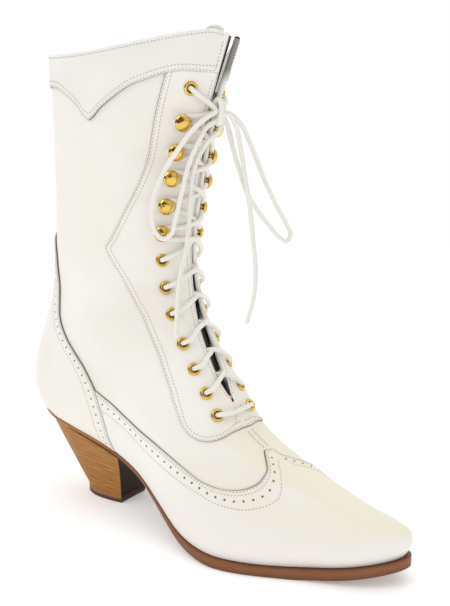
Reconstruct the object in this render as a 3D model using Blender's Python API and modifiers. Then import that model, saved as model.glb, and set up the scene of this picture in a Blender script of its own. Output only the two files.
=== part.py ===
"""Victorian lace-up boot for the right foot, standing empty on its heel and tread.

Sizes are in millimetres with the toe along +X, the inner side of the foot along +Y and the ground
at z = 0. x runs from the back of the heel until the whole boot is centred over the origin.
"""

import math

import bmesh
import bpy
import numpy as np
from mathutils import Vector

MM = 0.001

WALL = 2.0             # leather and lining of the upper
SEAT_GAP = 0.4         # between pieces that are cemented together
SWING_FROM = 168.0     # the foot's centre line bends inwards ahead of this x
SWING_OVER = 108.0     # and over this length
SWING = 10.0           # moves this far
INNER_FULLNESS = 0.18  # share by which the inner side of the toe is fuller than the outer,
FULLEST_X = 216.0      # most of all at this x
FULL_OVER = 24.0       # and less by this length from it
TIP_FALL = 0.35        # a slice narrows on past its toe width by this share
THROAT_ROW = 6.85      # row of the upper where the lacing gap starts
COLLAR_ROW = 13.0
INSIDE_SHAFT = (75.0, 0.0, 150.0)
SMOOTH_UP_TO = math.radians(40)

# Outer face of the upper as slices from the heel's back seam to the front ridge, sole to collar.
# Half widths are at HALF_WIDTH_STATIONS along the slice; the two round columns are the shares of
# its length over which the back and the front close; follow is how far it keeps the sole's curve,
# point sharpens the front ridge, inner is its share on the inner side of the foot, where the
# instep stays fuller, and dip lowers the slice by the shares of DIP_ROWS along it.
UPPER_COLUMNS = ("back_x", "back_z", "front_x", "front_z", "heel", "waist", "ball", "toe",
                 "round_back", "round_front", "follow", "point", "inner", "dip")
UPPER_ROWS = (
    (4.8, 56.6, 256.5, 15.5, 26.5, 23.0, 37.5, 19.5, 0.13, 0.14, 1.00, 0.50, 1.00, 0.0),
    (2.4, 61.0, 259.5, 21.0, 29.5, 25.0, 38.5, 22.0, 0.13, 0.15, 0.95, 0.50, 1.00, 0.0),
    (1.0, 67.0, 258.0, 27.2, 32.0, 27.5, 38.0, 22.5, 0.14, 0.18, 0.90, 0.50, 1.00, 0.0),
    (0.0, 75.0, 249.5, 34.2, 33.0, 29.0, 36.5, 22.0, 0.15, 0.24, 0.80, 0.50, 1.00, 0.0),
    (0.3, 85.0, 234.0, 41.6, 33.5, 29.5, 34.5, 21.5, 0.17, 0.32, 0.66, 0.44, 0.85, 0.0),
    (3.0, 97.5, 200.0, 55.3, 33.0, 30.0, 32.0, 24.5, 0.21, 0.40, 0.48, 0.29, 0.60, 0.0),
    (7.2, 111.0, 167.0, 71.0, 31.5, 30.0, 30.5, 27.0, 0.27, 0.47, 0.30, 0.26, 0.45, 0.0),
    (11.8, 125.5, 153.0, 86.0, 30.0, 30.0, 30.5, 28.0, 0.32, 0.52, 0.16, 0.29, 0.45, 0.0),
    (15.5, 139.0, 142.5, 104.5, 28.5, 30.0, 30.5, 29.0, 0.37, 0.54, 0.06, 0.45, 0.75, 0.0),
    (17.5, 154.0, 132.0, 134.0, 28.0, 29.5, 30.5, 29.5, 0.42, 0.56, 0.00, 0.66, 0.95, 0.0),
    (18.5, 175.5, 127.5, 170.0, 29.0, 32.0, 32.0, 30.5, 0.48, 0.58, 0.00, 0.72, 1.00, 0.0),
    (21.0, 203.5, 133.0, 206.0, 32.5, 37.0, 37.0, 35.5, 0.50, 0.60, 0.00, 0.74, 1.00, 0.5),
    (24.5, 239.0, 141.5, 242.5, 37.0, 41.0, 42.0, 40.5, 0.46, 0.60, 0.00, 0.72, 1.00, 1.5),
    (25.5, 285.0, 156.5, 280.0, 39.0, 45.0, 45.5, 44.0, 0.43, 0.60, 0.00, 0.70, 1.00, 10.0),
)
HALF_WIDTH_STATIONS = (0.12, 0.38, 0.64, 0.86, 1.0)
DIP_COLUMNS = ("t", "share")
DIP_ROWS = (
    (0.0, 0.0), (0.2, 0.65), (0.45, 1.02), (0.6, 0.85), (0.78, 0.38), (0.9, -0.03),
    (0.96, -0.18), (1.0, 0.0),
)
SLICES_DRAWN = (0, 0.4, 0.8, 1.3, 1.9, 2.6, 3.4, 4.2, 5, 5.8, 6.4, 6.85, 7.05, 7.3, 7.7, 8.2,
                8.8, 9.4, 10, 10.6, 11.2, 11.8, 12.4, 13)
SIDE_STEPS = 19

# Height of the feather line, where the upper meets the sole, along the foot.
FEATHER_COLUMNS = ("x", "z")
FEATHER_ROWS = (
    (0.0, 64.3), (20.0, 59.6), (50.0, 51.4), (80.0, 42.0), (100.0, 33.0), (120.0, 21.0),
    (140.0, 11.0), (160.0, 7.0), (180.0, 6.1), (205.0, 6.3), (232.0, 9.5), (264.0, 17.0),
)

# Half of the lacing gap between the facings, by row of the upper.
GAP_COLUMNS = ("row", "half_gap")
GAP_ROWS = (
    (6.85, 0.0), (7.05, 1.0), (7.3, 2.4), (7.7, 4.2), (8.2, 4.8), (8.8, 4.4), (9.3, 3.4),
    (9.7, 2.6), (10.4, 2.2), (11.2, 2.4), (11.8, 3.7), (12.4, 4.2), (13.0, 4.8),
)

# Lacing stations up each facing, by row of the upper, and how far they lie from the centre line.
EYELETS = (6.59, 7.18, 7.78, 8.29, 8.81, 9.27, 9.72, 12.30)
HOOKS = (10.17, 10.61, 11.04, 11.43, 11.85)
STATION_OUT = 14.3
EYELET_HOLE = 3.1      # radius of the hole punched through the facing
PUNCH_FROM, PUNCH_TO = 3.0, -4.5
TURNED_STEPS = 8
# Sections turned about the axis out of the leather: radius and height, down their outer sides.
EYELET_SECTION = ((2.1, 0.8), (3.2, 1.25), (4.1, 0.45), (2.7, 0.45), (2.7, -2.2), (2.1, -2.2))
HOOK_SECTION = ((0.0, 6.3), (2.1, 6.1), (4.0, 5.3), (5.1, 4.0), (4.9, 3.4), (1.6, 3.3), (1.6, 1.1),
                (2.6, 1.0), (2.6, 0.5), (0.0, 0.5))

TONGUE_ROWS = (5.7, 6.1, 6.5, 7.0, 7.6, 8.3, 9.0, 9.7, 10.4, 11.1, 11.8, 12.5, 12.9, 13.03)
TONGUE_OUT = (18.0, 15.0, 11.0, 6.5)
TONGUE_THICK = 1.8
TONGUE_BULGE = 1.2     # of its middle, towards the lacing gap
INSIDE_CLEAR = 0.8     # tongue and insole stay this far inside the wall

# Sole edge beyond the feather line and sole thickness, along the foot.
SOLE_COLUMNS = ("x", "edge", "thickness")
SOLE_ROWS = (
    (0.0, 0.9, 3.0), (60.0, 0.7, 3.0), (100.0, 0.6, 3.4), (135.0, 1.4, 4.6),
    (160.0, 2.4, 5.8), (200.0, 2.8, 6.1), (235.0, 3.0, 6.0), (262.0, 3.2, 5.8),
)
SOLE_STATIONS = (6.0, 7.5, 10, 14, 20, 28, 38, 50, 64, 78, 90, 100, 110, 120, 130, 140, 150, 162,
                 176, 192, 208, 222, 233, 241, 247, 252, 255, 257.5)
INSOLE_THICK = 2.0

# Stacked heel from the heel seat to the toplift: share down, x of back and breast, half width.
HEEL_ROWS = (
    (0.00, 4.4, 84.5, 26.4),
    (0.25, 11.6, 81.6, 22.0),
    (0.60, 23.2, 78.0, 16.8),
    (1.00, 38.0, 75.4, 13.2),
)
HEEL_STEPS = 11
HEEL_CLOSER = 1.8      # power that draws the steps together at the back
HEEL_ROUND = 0.52      # share of the heel's length that is round, from the back
BREAST_NARROWER = 0.13
TOPLIFT_THICK = 5.8

# Lace: its crossings stay this high over the leather, and the bow follows these routes.
LACE_RADIUS = 1.3
EYELET_LIFT = 3.9
HOOK_LIFT = 1.9
HOOK_REACH = 3.4       # the lace turns this far in front of a hook's neck
EDGE_LIFT = 2.5
EDGE_IN = 0.5          # it crosses a facing's edge this far inside the gap
LEAST_OUT = 1.0        # but no nearer to the centre line
CROSSING_ROWS = 0.08   # and this many rows above and below the station
EYELET_IN = 0.5        # it turns this far inside an eyelet's middle
SECOND_OVER = 0.4      # the second run lies this much higher
BAR_OVER = 1.2         # and the bar across the lowest eyelets this much
BAR_BEND_OUT = 7.0
BAR_PAST = 0.4
BAR_END_OVER = 0.3
KNOT_RADIUS = 3.2
KNOT_CLEAR = 1.1       # from its face to the end of a run
KNOT_JOIN_DOWN = 2.0   # the runs end this far below its top
CORD_STEP = 7.0
KNOT_STEP = 2.5
KNOT_ROUTE = ((148.2, 0.5, 236.5), (149.0, 0.4, 242.5), (148.9, 0.4, 248.5))
OUTER_LOOP_ROUTE = (
    (147.1, -2.9, 242.5), (145.0, -8.0, 240.0), (140.5, -14.5, 234.0), (133.0, -20.5, 222.0),
    (125.5, -24.0, 210.0), (119.5, -26.0, 195.0), (118.0, -25.5, 183.0), (119.5, -24.0, 176.5),
    (122.5, -21.5, 173.5), (125.5, -18.5, 176.0), (127.5, -17.5, 183.0), (130.0, -16.5, 193.0),
    (133.0, -16.0, 204.0), (136.5, -15.0, 216.0), (140.5, -12.5, 226.0), (143.5, -8.0, 234.5),
    (146.5, -3.5, 238.0),
)
INNER_LOOP_ROUTE = (
    (150.9, 3.8, 241.5), (153.5, 8.5, 237.5), (156.5, 15.5, 225.5), (161.0, 24.5, 205.0),
    (165.5, 32.0, 189.5), (168.5, 36.8, 180.5), (169.8, 38.8, 175.0), (168.5, 36.8, 171.0),
    (166.0, 32.5, 173.5), (163.0, 27.0, 179.5), (159.0, 20.0, 188.5), (155.5, 14.0, 198.5),
    (152.5, 9.5, 212.0), (150.5, 6.0, 224.0), (149.4, 2.6, 235.3),
)
OUTER_END_ROUTE = (
    (147.8, -0.8, 235.9), (146.9, -2.2, 232.0), (143.0, -7.0, 226.5), (139.5, -10.5, 219.0),
    (136.5, -11.5, 211.0), (133.5, -11.0, 194.5), (131.5, -10.5, 178.0), (130.0, -11.0, 166.0),
    (128.5, -13.5, 155.0), (128.0, -16.0, 142.0), (129.0, -18.5, 130.0), (130.5, -21.0, 118.0),
)
INNER_END_ROUTE = (
    (152.7, 1.2, 240.0), (154.8, 2.8, 235.0), (156.0, 5.2, 224.0), (157.3, 8.8, 206.0),
    (158.6, 11.6, 190.0), (159.6, 13.4, 173.0), (160.5, 15.0, 155.0), (160.0, 14.5, 142.0),
    (159.0, 12.5, 133.0), (157.5, 10.0, 124.0),
)


def hermite(x, y, at):
    """Cubic through (x, y), its slope at each point the weighted mean of those beside it."""
    step = np.diff(x)
    slope = np.diff(y) / step
    share = step[:-1] / (step[:-1] + step[1:])
    inner = slope[:-1] * (1 - share) + slope[1:] * share
    tangent = np.concatenate([slope[:1], inner, slope[-1:]])
    at = np.clip(np.asarray(at, float), x[0], x[-1])
    i = np.clip(np.searchsorted(x, at, side="right") - 1, 0, len(x) - 2)
    s = (at - x[i]) / step[i]
    return ((2 * s**3 - 3 * s**2 + 1) * y[i] + (s**3 - 2 * s**2 + s) * step[i] * tangent[i]
            + (3 * s**2 - 2 * s**3) * y[i + 1] + (s**3 - s**2) * step[i] * tangent[i + 1])


def column(columns, rows, name):
    return np.array([row[columns.index(name)] for row in rows], float)


def feather_z(x):
    return hermite(column(FEATHER_COLUMNS, FEATHER_ROWS, "x"),
                   column(FEATHER_COLUMNS, FEATHER_ROWS, "z"), x)


def sole_value(name, x):
    return hermite(column(SOLE_COLUMNS, SOLE_ROWS, "x"), column(SOLE_COLUMNS, SOLE_ROWS, name), x)


def sole_bottom(x):
    return np.maximum(feather_z(x) - SEAT_GAP - sole_value("thickness", x), 0.0)


def slice_at(row):
    """The columns of the upper's table at a fractional row, by name."""
    at = np.arange(len(UPPER_ROWS), dtype=float)
    return {name: float(hermite(at, column(UPPER_COLUMNS, UPPER_ROWS, name), row))
            for name in UPPER_COLUMNS}


def half_width(cut, t, side):
    """Half width of a slice at shares t of its length, from the back seam to the front ridge."""
    tip = cut["toe"] - TIP_FALL * (cut["ball"] - cut["toe"])
    widths = np.array([cut["heel"], cut["waist"], cut["ball"], cut["toe"], tip])
    body = hermite(np.array(HALF_WIDTH_STATIONS), widths, t)
    back = 1 - np.clip(t / cut["round_back"], 0, 1)
    front = 1 - np.clip((1 - t) / cut["round_front"], 0, 1)
    point = cut["point"] * (cut["inner"] if side > 0 else 1.0)
    return body * np.sqrt(1 - back**2) * np.maximum(1 - front**2, 0) ** point


def upper_points(row, t, side):
    """Points of the upper's outer face on one slice; side is -1 outside the foot, +1 inside."""
    over = max(row - COLLAR_ROW, 0.0)
    if over:
        top = upper_points(COLLAR_ROW, t, side)
        return top + (top - upper_points(COLLAR_ROW - 0.5, t, side)) * over / 0.5
    cut = slice_at(row)
    sole = slice_at(0.0)
    t = np.asarray(t, float)
    x = cut["back_x"] + (cut["front_x"] - cut["back_x"]) * t
    dip = cut["dip"] * hermite(column(DIP_COLUMNS, DIP_ROWS, "t"),
                               column(DIP_COLUMNS, DIP_ROWS, "share"), t)
    chord = cut["back_z"] + (cut["front_z"] - cut["back_z"]) * t - dip
    share = (x - sole["back_x"]) / (sole["front_x"] - sole["back_x"])
    sole_chord = sole["back_z"] + (sole["front_z"] - sole["back_z"]) * share
    z = chord + cut["follow"] * (feather_z(x) - sole_chord)
    centre = SWING * (np.maximum(x - SWING_FROM, 0) / SWING_OVER) ** 2
    full = INNER_FULLNESS * np.exp(-((x - FULLEST_X) / FULL_OVER) ** 2)
    fuller = 1 + full * (side > 0)
    return np.stack([x, centre + side * fuller * half_width(cut, t, side), z], axis=-1)


def share_at(row, out, side):
    """Share of the slice's length, on its front part, where the half width is `out`."""
    t = 1 - 0.5 * np.linspace(0.0, 1.0, 400) ** 4
    return float(np.interp(out, half_width(slice_at(min(row, COLLAR_ROW)), t, side), t))


def facing_frame(row, out, side):
    """Point of the outer face near the front and the unit vector out of the leather there."""
    t = share_at(row, out, side)
    step = 0.004
    behind, point, ahead = upper_points(row, np.array([t - step, t, t + step]), side)
    top = min(row + 0.05, COLLAR_ROW)
    low, high = (upper_points(r, np.array([t]), side)[0] for r in (top - 0.1, top))
    normal = np.cross(high - low, ahead - behind) * side
    return point, normal / np.linalg.norm(normal)


def over_facing(row, out, side, lift):
    """A point `lift` above the leather of a facing."""
    point, normal = facing_frame(row, out, side)
    return point + lift * normal


def smooth_route(points, step):
    """Points about `step` apart on a smooth curve through a route's points."""
    route = np.array(points, float)
    at = np.concatenate([[0.0], np.cumsum(np.linalg.norm(np.diff(route, axis=0), axis=1))])
    read = np.linspace(0.0, at[-1], max(3, round(at[-1] / step) + 1))
    return np.column_stack([hermite(at, route[:, k], read) for k in range(3)])


def material(name, colour, metallic=0.0, roughness=0.5):
    made = bpy.data.materials.new(name)
    made.use_nodes = True
    shader = made.node_tree.nodes["Principled BSDF"]
    shader.inputs["Base Color"].default_value = (*colour, 1.0)
    shader.inputs["Metallic"].default_value = metallic
    shader.inputs["Roughness"].default_value = roughness
    return made


def place(name, data, made_of, into):
    """A new object of this mesh or curve, in one of the collections."""
    if made_of.name not in data.materials:
        data.materials.append(made_of)
    obj = bpy.data.objects.new(name, data)
    into.objects.link(obj)
    return obj


def mesh_of(name, points, faces):
    """A mesh from points in millimetres, with its faces turned the same way and shaded smooth."""
    mesh = bpy.data.meshes.new(name)
    mesh.from_pydata((np.asarray(points, float) * MM).tolist(), [], [list(f) for f in faces])
    work = bmesh.new()
    work.from_mesh(mesh)
    bmesh.ops.recalc_face_normals(work, faces=work.faces[:])
    work.to_mesh(mesh)
    work.free()
    mesh.shade_smooth()
    mesh.set_sharp_from_angle(angle=SMOOTH_UP_TO)
    return mesh


def grid_faces(index):
    """Quads between neighbouring rows and columns of a grid of vertex numbers."""
    index = np.asarray(index)
    return np.stack([index[:-1, :-1], index[:-1, 1:], index[1:, 1:], index[1:, :-1]],
                    axis=-1).reshape(-1, 4)


def thicken(obj, thickness):
    """Gives an open surface its thickness on the side away from its normals."""
    wall = obj.modifiers.new("wall", "SOLIDIFY")
    wall.thickness = thickness * MM
    wall.offset = -1.0
    wall.use_even_offset = True


def upper_surface():
    """Outer face of the upper: rings below the throat, open at the front above it."""
    points = []
    index = []
    for row in SLICES_DRAWN:
        closed = row <= THROAT_ROW
        gap = hermite(column(GAP_COLUMNS, GAP_ROWS, "row"),
                      column(GAP_COLUMNS, GAP_ROWS, "half_gap"), row)
        spread = 0.5 - 0.5 * np.cos(np.linspace(0, math.pi, SIDE_STEPS + 1))
        outer, inner = (spread * (1.0 if closed else share_at(row, gap, side)) for side in (-1, 1))
        ring = np.concatenate([upper_points(row, outer[::-1], -1), upper_points(row, inner[1:], 1)])
        ring = ring[:-1] if closed else ring
        numbers = list(range(len(points), len(points) + len(ring)))
        points.extend(ring)
        index.append(numbers + numbers[:1] if closed else numbers)
    return points, grid_faces(index)


def outward(mesh, inside):
    """Turns a mesh's faces so that the face nearest a point inside it points away from it."""
    work = bmesh.new()
    work.from_mesh(mesh)
    inside = Vector(inside) * MM
    facing = sum(f.normal.dot(f.calc_center_median() - inside) * f.calc_area() for f in work.faces)
    if facing < 0:
        bmesh.ops.reverse_faces(work, faces=work.faces[:])
    work.to_mesh(mesh)
    work.free()


def tongue_surface():
    """Outer face of the tongue, inside the facings and flattened across the lacing gap."""
    rows = []
    for row in TONGUE_ROWS:
        arms = []
        for side in (-1, 1):
            arm = [over_facing(min(row, COLLAR_ROW), out, side, -WALL - INSIDE_CLEAR)
                   for out in TONGUE_OUT]
            t = share_at(row, STATION_OUT, side)
            rise = upper_points(row, t, side) - upper_points(min(row, COLLAR_ROW), t, side)
            arms.append(np.array(arm) + rise)
        bulge = TONGUE_BULGE * min(max(row - THROAT_ROW, 0.0), 1.0)
        middle = (arms[0][-1] + arms[1][-1]) / 2 + np.array([bulge, 0.0, 0.0])
        rows.append(np.concatenate([arms[0], middle[None], arms[1][::-1]]))
    grid = np.array(rows)
    numbers = np.arange(grid.shape[0] * grid.shape[1]).reshape(grid.shape[:2])
    return grid.reshape(-1, 3), grid_faces(numbers)


def foot_outline():
    """The feather line in plan, from heel to toe on the outside and on the inside."""
    t = 0.5 - 0.5 * np.cos(np.linspace(0, math.pi, 49))
    return upper_points(0.0, t, -1)[:, :2], upper_points(0.0, t, 1)[:, :2]


def moved_out(lines, distance):
    """A closed outline, given as its two sides from heel to toe, moved out in plan."""
    loop = np.concatenate([lines[0], lines[1][-2:0:-1]])
    ahead = np.roll(loop, -1, axis=0) - np.roll(loop, 1, axis=0)
    normal = np.stack([ahead[:, 1], -ahead[:, 0]], axis=1)
    normal /= np.linalg.norm(normal, axis=1)[:, None]
    loop = loop + normal * distance(loop[:, 0])[:, None]
    n = len(lines[0])
    return loop[:n], np.concatenate([loop[:1], loop[:n - 2:-1]])


def sole_sheet(lines, top, bottom):
    """A sheet within a heel to toe outline, between two heights that vary along the foot."""
    heel_x = lines[0][0, 0]
    toe_x = lines[0][-1, 0]
    x = np.array([heel_x, *(s for s in SOLE_STATIONS if heel_x + 1 < s < toe_x - 1), toe_x])
    rings = []
    for line, height in ((lines[0], top), (lines[1], top), (lines[1], bottom), (lines[0], bottom)):
        rings.append(np.column_stack([x, np.interp(x, line[:, 0], line[:, 1]), height(x)]))
    n = len(x)
    index = np.arange(4 * n).reshape(4, n)
    index[1, [0, -1]] = index[0, [0, -1]]
    index[2, [0, -1]] = index[3, [0, -1]]
    faces = []
    for a, b in zip(index, np.roll(index, -1, axis=0)):
        for k in range(n - 1):
            face = list(dict.fromkeys([a[k], a[k + 1], b[k + 1], b[k]]))
            if len(face) > 2:
                faces.append(face)
    points = np.concatenate(rings)
    used = sorted({i for f in faces for i in f})
    renumber = {old: new for new, old in enumerate(used)}
    return points[used], [[renumber[i] for i in f] for f in faces]


def heel_ring(back_x, breast_x, width):
    """The heel's plan at one height, from one breast corner round the back to the other."""
    t = (1 - np.linspace(0, 1, HEEL_STEPS)) ** HEEL_CLOSER
    x = back_x + (breast_x - back_x) * t
    y = width * np.sqrt(1 - np.clip(1 - t / HEEL_ROUND, 0, 1) ** 2)
    y = y * (1 - BREAST_NARROWER * np.clip((t - HEEL_ROUND) / (1 - HEEL_ROUND), 0, 1) ** 2)
    return np.concatenate([x, x[-2::-1]]), np.concatenate([-y, y[-2::-1]])


def heel_block():
    """The stacked heel: its plan's rings from the heel seat to the toplift."""
    rings = []
    for down, back_x, breast_x, width in HEEL_ROWS:
        x, y = heel_ring(back_x, breast_x, width)
        z = (sole_bottom(x) - SEAT_GAP) * (1 - down) + (TOPLIFT_THICK + SEAT_GAP) * down
        rings.append(np.column_stack([x, y, z]))
    n = len(rings[0])
    index = np.arange(len(rings) * n).reshape(len(rings), n)
    faces = [list(f) for f in grid_faces(np.column_stack([index, index[:, 0]]))]
    for ring in (index[0], index[-1]):
        for j in range(n // 2):
            corners = [ring[j], ring[j + 1], ring[n - 2 - j], ring[n - 1 - j]]
            faces.append(list(dict.fromkeys(corners)))
    return np.concatenate(rings), faces


def turned_mesh(name, section, closed):
    """A section in its own XZ plane, for a Screw modifier to turn about Z."""
    mesh = bpy.data.meshes.new(name)
    points = [(radius * MM, 0.0, height * MM) for radius, height in section]
    edges = [(k, k + 1) for k in range(len(points) - 1)]
    if closed:
        edges.append((len(points) - 1, 0))
    mesh.from_pydata(points, edges, [])
    return mesh


def stand_on_facing(obj, row, side):
    """Puts a turned piece on its lacing station, its axis out of the leather."""
    point, normal = facing_frame(row, STATION_OUT, side)
    obj.location = point * MM
    obj.rotation_mode = "QUATERNION"
    obj.rotation_quaternion = Vector(normal).to_track_quat("Z", "Y")
    screw = obj.modifiers.new("turn", "SCREW")
    screw.steps = TURNED_STEPS
    screw.render_steps = TURNED_STEPS
    screw.use_merge_vertices = True
    screw.merge_threshold = 1e-5


def tube_curve(name, points, radius):
    """A round tube along these points, closed at its ends."""
    curve = bpy.data.curves.new(name, "CURVE")
    curve.dimensions = "3D"
    curve.bevel_depth = radius * MM
    curve.bevel_resolution = 2
    curve.use_fill_caps = True
    spline = curve.splines.new("POLY")
    spline.points.add(len(points) - 1)
    for point, at in zip(spline.points, points):
        point.co = (*(np.asarray(at) * MM), 1.0)
    return curve


def tube_mesh(name, points, radius, into, made_of):
    """The same tube as a mesh, welded at its caps, so that it can be joined to another."""
    guide = place(name + "_guide", tube_curve(name, points, radius), made_of, into)
    guide.data.bevel_resolution = 1
    graph = bpy.context.evaluated_depsgraph_get()
    mesh = bpy.data.meshes.new_from_object(guide.evaluated_get(graph))
    bpy.data.objects.remove(guide)
    work = bmesh.new()
    work.from_mesh(mesh)
    bmesh.ops.remove_doubles(work, verts=work.verts, dist=1e-6)
    bmesh.ops.recalc_face_normals(work, faces=work.faces[:])
    work.to_mesh(mesh)
    work.free()
    return place(name, mesh, made_of, into)


def over_edge(row, side, over=0.0):
    """Point of a lace where it passes over the edge of a facing, `over` more for the upper run."""
    gap = float(hermite(column(GAP_COLUMNS, GAP_ROWS, "row"),
                        column(GAP_COLUMNS, GAP_ROWS, "half_gap"), row))
    return over_facing(row, max(gap - EDGE_IN, LEAST_OUT), side, EDGE_LIFT + over)


def lace_station(row, side):
    """Where a lace turns: over an eyelet, or in front of a hook's neck."""
    if row in EYELETS:
        return over_facing(row, STATION_OUT - EYELET_IN, side, EYELET_LIFT)
    return over_facing(row, STATION_OUT - HOOK_REACH, side, HOOK_LIFT)


def lace_run(first_side, over):
    """One half of the lace: side to side over the gap at each station, bottom to top."""
    points = []
    side = first_side
    rows = sorted(EYELETS + HOOKS)
    for row in rows:
        if row > rows[0]:
            points.append(over_edge(row - CROSSING_ROWS, side, over))
        points.append(lace_station(row, side))
        if row < rows[-1]:
            points.append(over_edge(row + CROSSING_ROWS, side, over))
        side = -side
    knot = np.array(KNOT_ROUTE[-1]) - np.array([0.0, 0.0, KNOT_JOIN_DOWN])
    reach = points[-1] - knot
    reach[2] = 0.0
    return points + [knot + reach / np.linalg.norm(reach) * (KNOT_RADIUS + KNOT_CLEAR)]


for old in list(bpy.data.objects):
    bpy.data.objects.remove(old)
boot = bpy.data.collections.new("victorian_boot")
cutters = bpy.data.collections.new("cutters")
bpy.context.scene.collection.children.link(boot)
bpy.context.scene.collection.children.link(cutters)

white_leather = material("white_leather", (0.86, 0.84, 0.80), roughness=0.42)
tongue_leather = material("tongue_leather", (0.10, 0.10, 0.09), roughness=0.6)
insole_leather = material("insole_leather", (0.62, 0.50, 0.38), roughness=0.6)
sole_leather = material("sole_leather", (0.26, 0.11, 0.05), roughness=0.4)
stacked_wood = material("stacked_wood", (0.45, 0.26, 0.11), roughness=0.45)
tip_rubber = material("tip_rubber", (0.10, 0.05, 0.03), roughness=0.6)
brass = material("brass", (0.85, 0.55, 0.16), metallic=1.0, roughness=0.22)
lace_cotton = material("lace_cotton", (0.85, 0.84, 0.81), roughness=0.8)

# Upper and tongue
upper = place("upper", mesh_of("upper", *upper_surface()), white_leather, boot)
outward(upper.data, INSIDE_SHAFT)
thicken(upper, WALL)
tongue = place("tongue", mesh_of("tongue", *tongue_surface()), tongue_leather, boot)
outward(tongue.data, INSIDE_SHAFT)
thicken(tongue, TONGUE_THICK)

# Outsole and insole
feather = foot_outline()
outsole_line = moved_out(feather, lambda x: sole_value("edge", x))
outsole = sole_sheet(outsole_line, lambda x: feather_z(x) - SEAT_GAP, sole_bottom)
place("outsole", mesh_of("outsole", *outsole), sole_leather, boot)
insole_line = moved_out(feather, lambda x: np.full(len(x), -WALL - INSIDE_CLEAR))
insole = sole_sheet(insole_line, lambda x: feather_z(x) + INSOLE_THICK, feather_z)
place("insole", mesh_of("insole", *insole), insole_leather, boot)

# Heel and toplift
place("heel", mesh_of("heel", *heel_block()), stacked_wood, boot)
tip_x, tip_y = heel_ring(*HEEL_ROWS[-1][1:])
tip_outline = bpy.data.curves.new("toplift", "CURVE")
tip_outline.dimensions = "2D"
tip_outline.fill_mode = "BOTH"
tip_outline.extrude = TOPLIFT_THICK / 2 * MM
tip_spline = tip_outline.splines.new("POLY")
tip_spline.points.add(len(tip_x) - 1)
tip_spline.use_cyclic_u = True
for point, x, y in zip(tip_spline.points, tip_x, tip_y):
    point.co = (x * MM, y * MM, 0.0, 1.0)
toplift = place("toplift", tip_outline, tip_rubber, boot)
toplift.location.z = TOPLIFT_THICK / 2 * MM

# Eyelets and hooks, with the eyelets' holes punched through the facings
eyelet_mesh = turned_mesh("eyelet", EYELET_SECTION, True)
hook_mesh = turned_mesh("hook", HOOK_SECTION, False)
punch_section = ((0.0, PUNCH_FROM), (EYELET_HOLE, PUNCH_FROM), (EYELET_HOLE, PUNCH_TO),
                 (0.0, PUNCH_TO))
punch_mesh = turned_mesh("punch", punch_section, False)
for side, name in ((-1, "outer"), (1, "inner")):
    for k, row in enumerate(EYELETS):
        eyelet = place(f"eyelet_{name}_{k + 1}", eyelet_mesh, brass, boot)
        stand_on_facing(eyelet, row, side)
        punch = place(f"punch_{name}_{k + 1}", punch_mesh, brass, cutters)
        stand_on_facing(punch, row, side)
        punch.hide_render = True
        punch.display_type = "WIRE"
    for k, row in enumerate(HOOKS):
        hook = place(f"hook_{name}_{k + 1}", hook_mesh, brass, boot)
        stand_on_facing(hook, row, side)
holes = upper.modifiers.new("eyelet_holes", "BOOLEAN")
holes.operation = "DIFFERENCE"
holes.solver = "EXACT"
holes.operand_type = "COLLECTION"
holes.collection = cutters

# Lace: crossings joined into one solid, then the knot, loops and ends of the bow
joined = bpy.data.collections.new("joined_laces")
bpy.context.scene.collection.children.link(joined)
crossings = tube_mesh("lace_crossings", lace_run(-1, 0.0), LACE_RADIUS, boot, lace_cotton)
other_run = tube_mesh("lace_other_run", lace_run(1, SECOND_OVER), LACE_RADIUS, joined, lace_cotton)
lowest = min(EYELETS)
bar_end = (STATION_OUT + BAR_PAST, EYELET_LIFT + BAR_END_OVER)
bar_bend = (BAR_BEND_OUT, EDGE_LIFT + BAR_OVER)
bar_points = [over_facing(lowest, out, side, lift) for side, (out, lift) in (
    (-1, bar_end), (-1, bar_bend), (1, bar_bend), (1, bar_end))]
bar = tube_mesh("lace_bar", bar_points, LACE_RADIUS, joined, lace_cotton)
for piece in (other_run, bar):
    piece.hide_render = True
    piece.display_type = "WIRE"
    join = crossings.modifiers.new(piece.name, "BOOLEAN")
    join.operation = "UNION"
    join.solver = "EXACT"
    join.object = piece
knot_curve = tube_curve("lace_knot", smooth_route(KNOT_ROUTE, KNOT_STEP), KNOT_RADIUS)
place("lace_knot", knot_curve, lace_cotton, boot)
for name, route in (("lace_loop_outer", OUTER_LOOP_ROUTE), ("lace_loop_inner", INNER_LOOP_ROUTE),
                    ("lace_end_outer", OUTER_END_ROUTE), ("lace_end_inner", INNER_END_ROUTE)):
    place(name, tube_curve(name, smooth_route(route, CORD_STEP), LACE_RADIUS), lace_cotton, boot)

# The boot centred over the origin, on the ground
sole_x = outsole_line[0][:, 0]
stand = bpy.data.objects.new("boot_frame", None)
boot.objects.link(stand)
stand.location.x = -sole_x.max() / 2 * MM
for obj in [*boot.objects, *cutters.objects, *joined.objects]:
    if obj is not stand:
        obj.parent = stand
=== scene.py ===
"""Looks of a white Victorian lace-up boot for the right foot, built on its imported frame.

Sizes are in millimetres in the drawing frame of the part: x from the back of the heel to the toe,
y to the inner side of the foot, z up from the ground. They become metres as a piece is made.
"""

import math

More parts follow.
